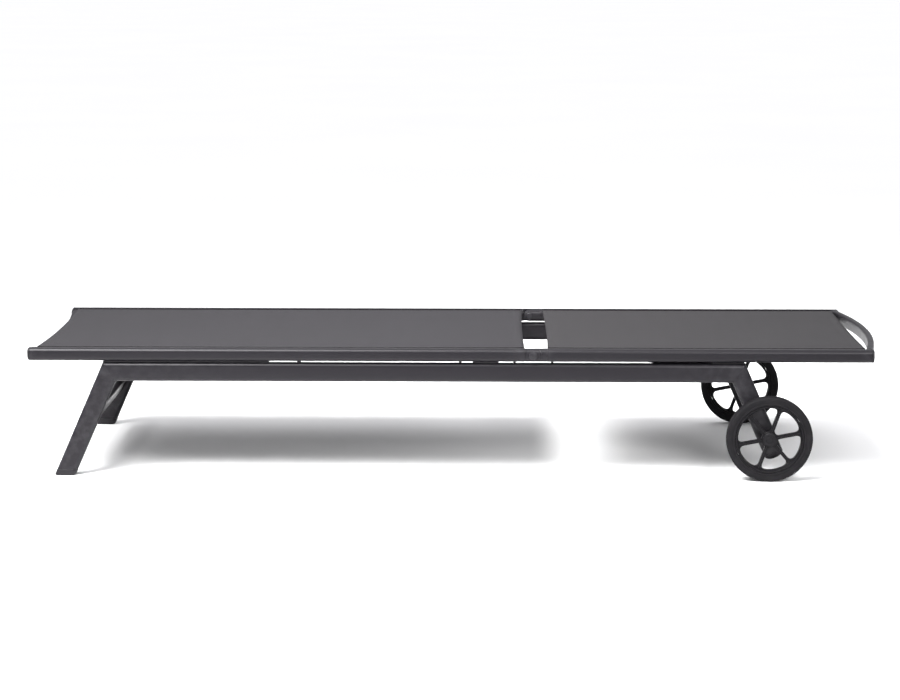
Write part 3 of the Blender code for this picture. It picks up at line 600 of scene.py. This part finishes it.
def refined(loop, spacing):
    """Extra points along a closed loop, so that a bead's ripple shows."""
    fine = []
    for k, p in enumerate(loop):
        q = Vector(loop[(k + 1) % len(loop)])
        p = Vector(p)
        steps = max(1, round((q - p).length / spacing))
        fine += [p.lerp(q, i / steps) for i in range(steps)]
    return fine


def weld_mitre(name, y, plane):
    """The ground-down weld on a mitred corner."""
    middle = (0.0, y, (TUBE_LO.z + TUBE_HI.z) / 2)
    loop = cut_ring(tube_section(0.0007, 6), middle, Vector((1, 0, 0)), Vector((0, 0, 1)), *plane)
    place(bead(name, refined(loop, 0.0008), 0.0011, ripple=0.05), "base", "frame_paint", PAINT)


def make_foot_cap(label, side):
    """The plastic foot under a front leg: a rounded sole, a wall and a plug in the tube."""
    node = f"foot_cap_{label}"
    down, wide = leg_axes(-1)
    origin = (leg_middle(-1, WHEEL_R), side * RAIL_Y, WHEEL_R)
    leg_lo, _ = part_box(f"front_leg_{label}")
    up = Vector((0.0, 0.0, 1.0))
    top = leg_lo.z - GAP
    rings = []
    levels = ((0.0050, 0.0), (0.0026, 0.0), (0.0013, 0.0003), (0.0005, 0.0011), (0.0, 0.0024),
              (-0.0003, 0.0040), (-0.0003, top - 0.0008), (0.0002, top - 0.0002), (0.0030, top),
              (0.0035, top + 0.010))
    for inset, z in levels:
        section = rounded_rect(TUBE_W - 2 * inset, TUBE_H - 2 * inset, TUBE_R - inset, 8)
        rings.append(cut_ring(section, origin, down, wide, (0.0, 0.0, z), up))
    place(loft(f"{node}_foot", rings, smooth=50), "base", "cap_plastic", CAP, node)


def make_rear_cap(label, side):
    """The rounded plastic end under a rear leg, with its plug in the tube."""
    node = f"rear_cap_{label}"
    down, wide = leg_axes(1)
    middle = rear_leg_end(f"rear_leg_{label}") + Vector((0.0, side * RAIL_Y, 0.0))
    rings = []
    levels = [(0.0035, 0.0045, -0.010), (0.0030, 0.0040, GAP), (0.0003, 0.0003, GAP),
              (0.0, 0.0, 0.0008)]
    wall = 0.002
    for k in range(11):
        t = k / 10 * math.pi / 2
        drop = 1 - math.cos(t)
        levels.append((0.0085 * drop, 0.0175 * drop, wall + (REAR_CAP_DEPTH - wall) * math.sin(t)))
    for inset_w, inset_h, d in levels:
        width = TUBE_W - 2 * inset_w
        height = TUBE_H - 2 * inset_h
        section = rounded_rect(width, height, min(TUBE_R, width * 0.49) - 0.0001, 8)
        rings.append([middle + down * d + Vector((0.0, u, 0.0)) + wide * w for u, w in section])
    place(loft(f"{node}_end", rings, smooth=50), "base", "cap_plastic", CAP, node)


def make_crossbar(node, lean, size):
    """A straight bar between the base's sides, with a fillet weld round each end."""
    lo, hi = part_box(node)
    if lean:
        down, wide = leg_axes(lean)
    else:
        down, wide = Vector((0.0, 0.0, 1.0)), Vector((1.0, 0.0, 0.0))
    centre = (lo + hi) / 2
    outline = rounded_rect(*size, STRAIGHT_BAR_R, 6)
    half = RAIL_Y - TUBE_W / 2
    stations = [-half] + [half * k / 4 for k in (-3, 0, 3)] + [half]
    rings = [[Vector((centre.x, y, centre.z)) + wide * u + down * w for u, w in outline]
             for y in stations]
    place(loft(f"{node}_bar", rings), "base", "frame_paint", PAINT, node)
    grown = rounded_rect(size[0] + 0.001, size[1] + 0.001, STRAIGHT_BAR_R + 0.0005, 6)
    for label, side in SIDES:
        loop = [Vector((centre.x, side * (half - 0.0006), centre.z)) + wide * u + down * w
                for u, w in grown]
        weld = bead(f"{node}_weld_{label}", refined(loop, 0.0007), 0.0018)
        place(weld, "base", "frame_paint", PAINT)


def inner_face(z):
    """How far a rail's inner face is from the middle of the lounger, at height z."""
    v = z - RAIL_Z
    upper = RAIL_H / 2 - RAIL_R - LIP_DROP
    lower = RAIL_R - RAIL_H / 2
    beyond = max(v - upper, lower - v, 0.0)
    reach = RAIL_W / 2 - RAIL_R + math.sqrt(max(RAIL_R ** 2 - beyond ** 2, 0.0))
    return RAIL_Y - reach


def make_bowed_bar(node, body, section, bow, anchor):
    """A bowed bar between the rails. anchor is its ends' (x, z)."""
    steps = 56
    width, height, radius = section
    half = RAIL_Y - RAIL_W / 2
    fine = refined([(u, v, 0.0) for u, v in rounded_rect(width, height, radius, 6)], 0.002)
    rings = []
    for k in range(steps + 1):
        y = half * (2 * k / steps - 1)
        lift = 1 - (y / half) ** 2
        ring = []
        for p in fine:
            x = anchor[0] + bow[0] * lift + p.x
            z = anchor[1] + bow[1] * lift + p.y
            at = math.copysign(inner_face(z), y) if k in (0, steps) else y
            ring.append((x, at, z))
        rings.append(ring)
    place(loft(f"{node}_bar", rings), body, "frame_paint", PAINT, node)
    grown = refined([(u, v, 0.0) for u, v in rounded_rect(width + 0.001, height + 0.001,
                                                          radius + 0.0005, 6)], 0.0007)
    for label, side in SIDES:
        loop = []
        for p in grown:
            z = min(anchor[1] + p.y, TOP - 0.0018)
            loop.append((anchor[0] + p.x, side * (inner_face(z) - 0.0004), z))
        weld = bead(f"{node}_weld_{label}", loop, 0.0013)
        place(weld, body, "frame_paint", PAINT)


# ---------------------------------------------------------------- slings

class Sling:
    """A stretched cloth: its surface, its folded free edges, side tapes and stitching."""

    def __init__(self, kind, body, cloth, sag, hollow):
        self.kind = kind
        self.body = body
        self.cloth = cloth
        self.node = f"{kind}_sling"
        lo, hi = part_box(self.node)
        self.x0 = lo.x
        self.x1 = hi.x
        self.sag = sag
        self.hollow = hollow
        self.groove = RAIL_Y - GROOVE_IN
        self.top = TOP - CLOTH_DOWN
        self.pieces = []

    def surface(self, s, y, lift):
        """A point of the cloth's middle: s runs 0 to 1 from the foot-end edge to the other."""
        part = 1 - (y / self.groove) ** 2
        sag = self.sag[0] + (self.sag[1] - self.sag[0]) * math.sin(math.pi * s)
        pull = part * (self.hollow[0] * (1 - s) - self.hollow[1] * s)
        x = self.x0 + (self.x1 - self.x0) * s + pull
        near_end = math.exp(-min(s, 1 - s) * (self.x1 - self.x0) / 0.05)
        ripple = 0.00025 * near_end * math.sin(abs(y) * 95.0) * (abs(y) / self.groove) ** 3
        return Vector((x, y, self.top - sag * part + ripple + lift))

    def share(self, distance, end):
        """s at a distance in from one of the free edges."""
        s = distance / (self.x1 - self.x0)
        return s if end == 0 else 1 - s

    def columns(self):
        """(y, dive) across the cloth: the outer ones turn down into the groove."""
        middle = [self.groove * (2 * j / 64 - 1) * 0.985 for j in range(65)]
        edge = self.groove
        turn = [(edge, -0.0030), (edge, -0.0015), (edge - 0.00012, -0.0008), (edge - 0.0004, -0.00030),
                (edge - 0.0009, -0.00005), (edge - 0.0020, 0.0)]
        left = [(-y, d) for y, d in turn]
        return left + [(y, 0.0) for y in middle] + list(reversed(turn))

    def make_cloth(self):
        columns = self.columns()
        rows = 130 if self.kind == "seat" else 90
        edge = 0.0013 / (self.x1 - self.x0)
        points = []
        for k in range(rows + 1):
            s = edge + (1 - 2 * edge) * k / rows
            for y, dive in columns:
                points.append(self.surface(s, y, dive))
        count = len(columns)
        faces = [(r * count + c, r * count + c + 1, (r + 1) * count + c + 1, (r + 1) * count + c)
                 for r in range(rows) for c in range(count - 1)]
        mesh = bpy.data.meshes.new(f"{self.node}_cloth")
        mesh.from_pydata(points, [], faces)
        obj = bpy.data.objects.new(f"{self.node}_cloth", mesh)
        bpy.context.scene.collection.objects.link(obj)
        thick = obj.modifiers.new("thickness", "SOLIDIFY")
        thick.thickness = CLOTH_T
        thick.offset = 0.0
        applied(obj)
        obj.data.shade_smooth()
        place(obj, self.body, "sling_cloth", self.cloth, self.node)
        return obj

    def make_hem(self, end):
        """The folded free edge: its lower layer and its round nose."""
        half = CLOTH_T / 2
        nose = 0.0012
        layer = 0.0009
        low = -half - 0.0002 - layer
        profile = [(HEM_W, low + layer), (HEM_W, low), (nose, low)]
        reach = (half - low) / 2
        middle = (half + low) / 2
        profile += [(nose - nose * math.sin(t), middle - reach * math.cos(t))
                    for t in (math.pi * k / 8 for k in range(1, 8))]
        profile += [(nose, half), (nose, low + layer)]
        inner = inner_face(RAIL_Z) - 0.0012
        rings = []
        for k in range(73):
            y = inner * (2 * k / 72 - 1)
            rings.append([self.surface(self.share(d, end), y, lift) for d, lift in profile])
        obj = loft(f"{self.node}_hem_{'foot' if end == 0 else 'head'}", rings, smooth=50)
        place(obj, self.body, "sling_cloth", self.cloth)
        self.pieces.append(obj)

    def make_tape(self, label, side):
        """A dark binding beside the groove, sewn on the cloth."""
        inner = self.groove - 0.0012
        low = CLOTH_T / 2 + 0.0001
        high = low + TAPE_T
        profile = [(0.0, low), (0.0, high - TAPE_T / 2), (TAPE_T, high), (TAPE_W - TAPE_T, high),
                   (TAPE_W, high - TAPE_T / 2), (TAPE_W, low)]
        rings = []
        rows = 90
        for k in range(rows + 1):
            s = 0.003 + 0.994 * k / rows
            rings.append([self.surface(s, side * (inner - d), lift) for d, lift in profile])
        obj = loft(f"{self.node}_tape_{label}", rings, smooth=50)
        place(obj, self.body, "sling_cloth", TAPE)
        self.pieces.append(obj)

    def make_stitches(self):
        """Lockstitch rows: two along each free edge's hem and one along each binding."""
        points = []
        faces = []
        length = 0.0026
        pitch = 0.0036
        inner = inner_face(RAIL_Z)
        lift = CLOTH_T / 2
        for end in (0, 1):
            for distance in (0.017, 0.021):
                s = self.share(distance, end)
                reach = inner - 0.016
                count = int(2 * reach / pitch)
                for k in range(count):
                    y = -reach + pitch * (k + 0.5)
                    a = self.surface(s, y - length / 2, lift)
                    b = self.surface(s, y + length / 2, lift)
                    add_stitch(points, faces, a, b)
        for side in (-1, 1):
            y = side * (self.groove - TAPE_W / 2)
            count = int((self.x1 - self.x0 - 0.02) / pitch)
            for k in range(count):
                x = 0.01 + pitch * (k + 0.5)
                a = self.surface(self.share(x - length / 2, 0), y, lift + 0.0005)
                b = self.surface(self.share(x + length / 2, 0), y, lift + 0.0005)
                add_stitch(points, faces, a, b)
        obj = mesh_object(f"{self.node}_stitches", points, faces, smooth=80)
        place(obj, self.body, "sling_cloth", THREAD)
        self.pieces.append(obj)

    def make(self):
        cloth = self.make_cloth()
        for end in (0, 1):
            self.make_hem(end)
        for label, side in SIDES:
            self.make_tape(label, side)
        self.make_stitches()
        for label, _ in SIDES:
            paint_node(f"{self.kind}_keder_{label}", KEDER, 0.0)


def add_stitch(points, faces, a, b):
    """One short raised stitch between two points, four-sided with pinched ends."""
    along = (b - a).normalized()
    wide = along.cross(Vector((0.0, 0.0, 1.0))).normalized() * 0.00032
    up = Vector((0.0, 0.0, 0.00030))
    first = len(points)
    for t, size in ((0.0, 0.35), (0.25, 1.0), (0.75, 1.0), (1.0, 0.35)):
        middle = a.lerp(b, t) + up * 0.15
        points += [middle + wide * size, middle + up * size, middle - wide * size,
                   middle - up * size * 0.6]
    for level in range(3):
        low = first + level * 4
        for i in range(4):
            j = (i + 1) % 4
            faces.append((low + i, low + j, low + 4 + j, low + 4 + i))
    faces.append((first, first + 1, first + 2, first + 3))
    faces.append((first + 12, first + 15, first + 14, first + 13))


# ---------------------------------------------------------------- wheels

def window_outline(k):
    """One opening between two spokes, with round corners, as (x, z) from the axle."""
    half = SPOKE_W / 2
    spread = math.pi / SPOKES

    def at(radius, edge):
        turn = edge * (spread - math.asin(half / radius))
        return Vector((radius * math.cos(turn), radius * math.sin(turn)))

    def corner(before, tip, after, size):
        a = tip + (before - tip).normalized() * size
        b = tip + (after - tip).normalized() * size
        return [a * (1 - t) ** 2 + tip * 2 * t * (1 - t) + b * t ** 2
                for t in (i / 7 for i in range(8))]

    inner_r = HUB_R + 0.0035
    low_in, high_in = at(inner_r, -1), at(inner_r, 1)
    low_out, high_out = at(WINDOW_R, -1), at(WINDOW_R, 1)
    turn = math.degrees(math.atan2(high_out.y, high_out.x)) - 11
    rim = [Vector(p) for p in arc((0, 0), WINDOW_R, -turn, turn, 14)]
    outline = corner(high_in, low_in, low_out, 0.005)
    outline += corner(low_in, low_out, rim[1], 0.013) + rim[1:-1]
    outline += corner(rim[-2], high_out, high_in, 0.013)
    outline += corner(high_out, high_in, low_in, 0.005)
    middle = SPOKE_TURN + spread + 2 * math.pi * k / SPOKES
    cos, sin = math.cos(middle), math.sin(middle)
    return [(p.x * cos - p.y * sin, p.x * sin + p.y * cos) for p in outline]


def prism_y(name, outline, y0, y1):
    return loft(name, [[(x, y, z) for x, z in outline] for y in (y0, y1)])


def make_wheel(label, side):
    body = f"wheel_{label}"
    lo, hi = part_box(f"tyre_{label}")
    outer = max(abs(lo.y), abs(hi.y))
    inner = min(abs(lo.y), abs(hi.y))
    middle = (outer + inner) / 2
    make_rim(label, side, body, middle, outer)
    make_tyre(label, side, body, inner, outer)
    make_hub_cap(label, side, body)


def make_rim(label, side, body, middle, outer):
    """The moulded wheel: hub, ribbed spokes and the flanged ring that carries the tyre."""
    node = f"wheel_rim_{label}"
    lo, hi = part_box(node)
    hub_in = min(abs(lo.y), abs(hi.y))
    hub_out = max(abs(lo.y), abs(hi.y))
    bore = 0.0064
    web = 0.0050
    flange = outer - middle - 0.002
    profile = [(bore, hub_in), (HUB_R - 0.002, hub_in), (HUB_R - 0.001, hub_in + 0.001),
               (HUB_R, middle - web - 0.002), (HUB_R + 0.002, middle - web),
               (WINDOW_R - 0.001, middle - web), (WINDOW_R + 0.001, middle - web - 0.002),
               (WINDOW_R + 0.0015, middle - flange + 0.001), (WINDOW_R + 0.0025, middle - flange),
               (RIM_R - 0.0014, middle - flange), (RIM_R - 0.0004, middle - flange + 0.001),
               (RIM_R - 0.0004, middle + flange - 0.001), (RIM_R - 0.0014, middle + flange),
               (WINDOW_R + 0.0025, middle + flange), (WINDOW_R + 0.0015, middle + flange - 0.001),
               (WINDOW_R + 0.001, middle + web + 0.002), (WINDOW_R - 0.001, middle + web),
               (HUB_R + 0.002, middle + web), (HUB_R, middle + web + 0.002),
               (HUB_R - 0.001, hub_out - 0.001), (HUB_R - 0.002, hub_out), (bore, hub_out)]
    obj = turned(f"{node}_moulding", profile, side)
    for k in range(SPOKES):
        outline = [(AXLE[0] + x, AXLE[1] + z) for x, z in window_outline(k)]
        boolean(obj, "DIFFERENCE", prism_y(f"{node}_window{k}", outline, side * (middle - 0.02),
                                           side * (middle + 0.02)))
        boolean(obj, "UNION", spoke_rib(f"{node}_rib{k}", k, side, middle, web))
    applied(obj)
    bevel(obj, 0.0006, 38.0)
    place(applied(obj), body, "wheel_plastic", WHEEL, node)


def spoke_rib(name, k, side, middle, web):
    """A thin rib along a spoke's outer and inner face."""
    turn = SPOKE_TURN + 2 * math.pi * k / SPOKES
    out = Vector((math.cos(turn), 0.0, math.sin(turn)))
    wide = Vector((-math.sin(turn), 0.0, math.cos(turn))) * RIB_HALF
    height = web + RIB_H
    rings = []
    for radius in (HUB_R - 0.003, WINDOW_R + 0.002):
        centre = Vector((AXLE[0], 0.0, AXLE[1])) + out * radius
        rings.append([centre + wide * a + Vector((0.0, side * (middle + b * height), 0.0))
                      for a, b in ((-1, -1), (1, -1), (1, 1), (-1, 1))])
    return loft(name, rings)


def make_tyre(label, side, body, inner, outer):
    """A solid tyre: round shoulders, two tread grooves and a bead line on each wall."""
    node = f"tyre_{label}"
    middle = (inner + outer) / 2
    half = (outer - inner) / 2
    wall = [(RIM_R, half - 0.0010), (RIM_R + 0.0012, half - 0.0002), (RIM_R + 0.0030, half),
            (RIM_R + 0.0048, half - 0.0002), (RIM_R + 0.0058, half - 0.0008),
            (RIM_R + 0.0068, half - 0.0002)]
    shoulder = arc((WHEEL_R - 0.0062, half - 0.0062), 0.0062, 90, 20, 10)
    groove = 0.0058
    tread = [(WHEEL_R - 0.0002, groove + 0.0014), (WHEEL_R - 0.0014, groove + 0.0009),
             (WHEEL_R - 0.0014, groove - 0.0009), (WHEEL_R - 0.0001, groove - 0.0014)]
    half_outline = wall + shoulder + tread + [(WHEEL_R, 0.002)]
    outline = [(r, middle + y) for r, y in half_outline]
    outline += [(r, middle - y) for r, y in reversed(half_outline)]
    place(turned(f"{node}_rubber", outline, side, smooth=40), body, "tyre_rubber", TYRE, node)


def make_hub_cap(label, side, body):
    """The hub's push-on cap, with a ring groove round a raised middle."""
    node = f"hub_cap_{label}"
    lo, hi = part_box(node)
    back = min(abs(lo.y), abs(hi.y))
    face = max(abs(lo.y), abs(hi.y))
    profile = [(0.002, back), (HUB_R, back), (HUB_R, face - 0.0026), (HUB_R - 0.0006, face - 0.0018),
               (HUB_R - 0.0022, face - 0.0010), (HUB_R - 0.0045, face - 0.0007),
               (0.0088, face - 0.0006), (0.0082, face - 0.0011), (0.0074, face - 0.0011),
               (0.0068, face - 0.0005), (0.0045, face - 0.0001), (0.0025, face), (0.0008, face)]
    place(domed(f"{node}_disc", AXLE, profile, side), body, "wheel_plastic", WHEEL, node)


def make_pivot_bolt(label, side):
    """The hinge's bolt with its inner head and a domed cover outside."""
    node = f"pivot_bolt_{label}"
    lo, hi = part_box(node)
    centre = ((lo.x + hi.x) / 2, (lo.z + hi.z) / 2)
    face = max(abs(lo.y), abs(hi.y))
    back = min(abs(lo.y), abs(hi.y))
    cap = RAIL_Y + RAIL_W / 2
    profile = [(0.002, back), (0.0062, back), (0.0070, back + 0.0008), (0.0070, back + 0.0028),
               (0.0040, back + 0.0030), (0.0040, cap + 0.0003), (0.0088, cap + 0.0002),
               (0.0093, cap + 0.0006), (0.0093, cap + 0.0012), (0.0088, cap + 0.0020),
               (0.0072, face - 0.0010), (0.0050, face - 0.0004), (0.0025, face), (0.0006, face)]
    place(domed(f"{node}_cap", centre, profile, side), "base", "bolt_cap", BOLT_CAP, node)


def make_studs(label, side):
    """Small bumpers in the gap between the base rail and the rails above."""
    low = TUBE_HI.z + 0.0002
    high = RAIL_Z - RAIL_H / 2 - GAP
    for k, x in enumerate(BUMPER_X):
        ring = [(x + u, side * RAIL_Y + v) for u, v in rounded_rect(*BUMPER, 5)]
        stud = loft(f"bumper_{k}_{label}", [[(u, v, z) for u, v in ring] for z in (low, high)])
        place(stud, "base", "pad_rubber", PAD)


# ---------------------------------------------------------------- carried-over CAD pieces

def paint_node(node, look, edge):
    """A CAD node whose shape is right: a better material, eased edges and even shading."""
    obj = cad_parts[node]
    obj.data.materials.clear()
    obj.data.materials.append(look)
    for face in obj.data.polygons:
        face.use_smooth = True
    weld = obj.modifiers.new("weld", "WELD")
    weld.merge_threshold = 0.00001
    if edge:
        bevel(obj, edge, 30.0)


def finish_cad_pieces():
    for label, _ in SIDES:
        for node in (f"hinge_fixed_{label}", f"hinge_moving_{label}"):
            paint_node(node, PAINT, 0.0005)
        paint_node(f"prop_rack_{label}", PAINT, 0.0006)
        paint_node(f"prop_bracket_{label}", PAINT, 0.0005)
        paint_node(f"prop_arm_{label}", PAINT, 0.0006)
        for place_name in ("front", "middle", "rear"):
            paint_node(f"spacer_{place_name}_{label}", CAP, 0.0)
        paint_node(f"rest_pad_{label}", PAD, 0.0)
    paint_node("prop_foot_bar", PAINT, 0.0008)
    paint_node("axle", ZINC, 0.0008)


# ---------------------------------------------------------------- camera, light, floor

def make_camera():
    """The viewing angle: far away, a little above, nearly square to the long side."""
    data = bpy.data.cameras.new("camera")
    data.lens = 96.12
    data.sensor_width = 36.0
    camera = bpy.data.objects.new("camera", data)
    camera.location = (0.081, -5.806, 1.247)
    camera.rotation_euler = (math.radians(90.0 - 9.76), 0.0, math.radians(0.999))
    bpy.context.scene.collection.objects.link(camera)
    bpy.context.scene.camera = camera


def softbox(name, location, target, size, power):
    data = bpy.data.lights.new(name, "AREA")
    data.shape = "RECTANGLE"
    data.size, data.size_y = size
    data.energy = power
    data.spread = math.radians(50.0)
    light = bpy.data.objects.new(name, data)
    light.location = location
    aim = Vector(target) - Vector(location)
    light.rotation_euler = aim.to_track_quat("-Z", "Y").to_euler()
    bpy.context.scene.collection.objects.link(light)


def make_studio():
    """A pale floor in a room that is bright overhead, dim lower down and white at the
    horizon, with a softbox in front on the left and a weak one on the right."""
    scene = bpy.context.scene
    scene.view_settings.view_transform = "Standard"
    world = bpy.data.worlds.new("studio")
    world.use_nodes = True
    tree = world.node_tree
    where = tree.nodes.new("ShaderNodeTexCoord")
    parts = tree.nodes.new("ShaderNodeSeparateXYZ")
    brighter = tree.nodes.new("ShaderNodeMath")
    brighter.operation = "MAXIMUM"
    tree.links.new(where.outputs["Generated"], parts.inputs[0])
    overhead = (0.15, 0.90, 0.20, 1.54)
    horizon = (0.10, 0.17, 1.00, 0.20)
    for slot, values in enumerate((overhead, horizon)):
        ramp = tree.nodes.new("ShaderNodeMapRange")
        for name, value in zip(("From Min", "From Max", "To Min", "To Max"), values):
            ramp.inputs[name].default_value = value
        tree.links.new(parts.outputs["Z"], ramp.inputs["Value"])
        tree.links.new(ramp.outputs["Result"], brighter.inputs[slot])
    tree.links.new(brighter.outputs[0], tree.nodes["Background"].inputs["Strength"])
    tree.nodes["Background"].inputs["Color"].default_value = (0.98, 0.98, 1.0, 1.0)
    scene.world = world
    softbox("left_softbox", (-1.65, -1.80, 3.4), (-0.5, -0.3, 0.3), (2.2, 3.2), 88.0)
    softbox("right_fill", (1.6, -3.3, 1.9), (0.8, -0.3, 0.3), (1.3, 1.2), 8.0)
    n = Nodes("studio_floor")
    cloud = n.noise(0.8, 2.0)
    n.set(Base_Color=n.mix(cloud, (0.90, 0.90, 0.90), (0.93, 0.93, 0.93)), Roughness=0.9,
          Specular_IOR_Level=0.1)
    floor = mesh_object("floor", [(-40, -40, 0), (40, -40, 0), (40, 60, 0), (-40, 60, 0)],
                        [(0, 1, 2, 3)])
    floor.data.materials.append(n.material)


# ---------------------------------------------------------------- building

make_camera()
make_studio()
for side_name, side_sign in SIDES:
    for rail_kind, rail_body in (("seat", "base"), ("back", "backrest")):
        make_rail(rail_kind, side_name, side_sign, rail_body)
        make_rail_cap(rail_kind, side_name, side_sign, rail_body)
    make_base_side(side_name, side_sign)
    make_foot_cap(side_name, side_sign)
    make_rear_cap(side_name, side_sign)
    make_wheel(side_name, side_sign)
    make_pivot_bolt(side_name, side_sign)
    make_studs(side_name, side_sign)
make_crossbar("front_crossbar", -1, LEG_BAR)
make_crossbar("rear_crossbar", 1, LEG_BAR)
make_crossbar("middle_crossbar", 0, MIDDLE_BAR)
head_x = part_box("back_rail_right")[1].x + CAP_REACH - HEAD_BAR_IN
foot_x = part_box("seat_end_cap_right")[0].x + FOOT_BAR_IN
head_bar = (HEAD_BAR_W, RAIL_H, HEAD_BAR_R)
make_bowed_bar("head_bar", "backrest", head_bar, HEAD_BAR_BOW, (head_x, RAIL_Z))
make_bowed_bar("foot_bar", "base", FOOT_BAR, FOOT_BAR_BOW, (foot_x, RAIL_Z))
for bar in ("back_crossbar_lower", "back_crossbar_upper"):
    bar_lo, bar_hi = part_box(bar)
    make_bowed_bar(bar, "backrest", BACK_BAR, BACK_BAR_BOW,
                   ((bar_lo.x + bar_hi.x) / 2, RAIL_Z - BACK_BAR_DROP))
Sling("seat", "base", SEAT_CLOTH, SEAT_SAG, SEAT_HOLLOW).make()
Sling("back", "backrest", BACK_CLOTH, BACK_SAG, BACK_HOLLOW).make()
finish_cad_pieces()
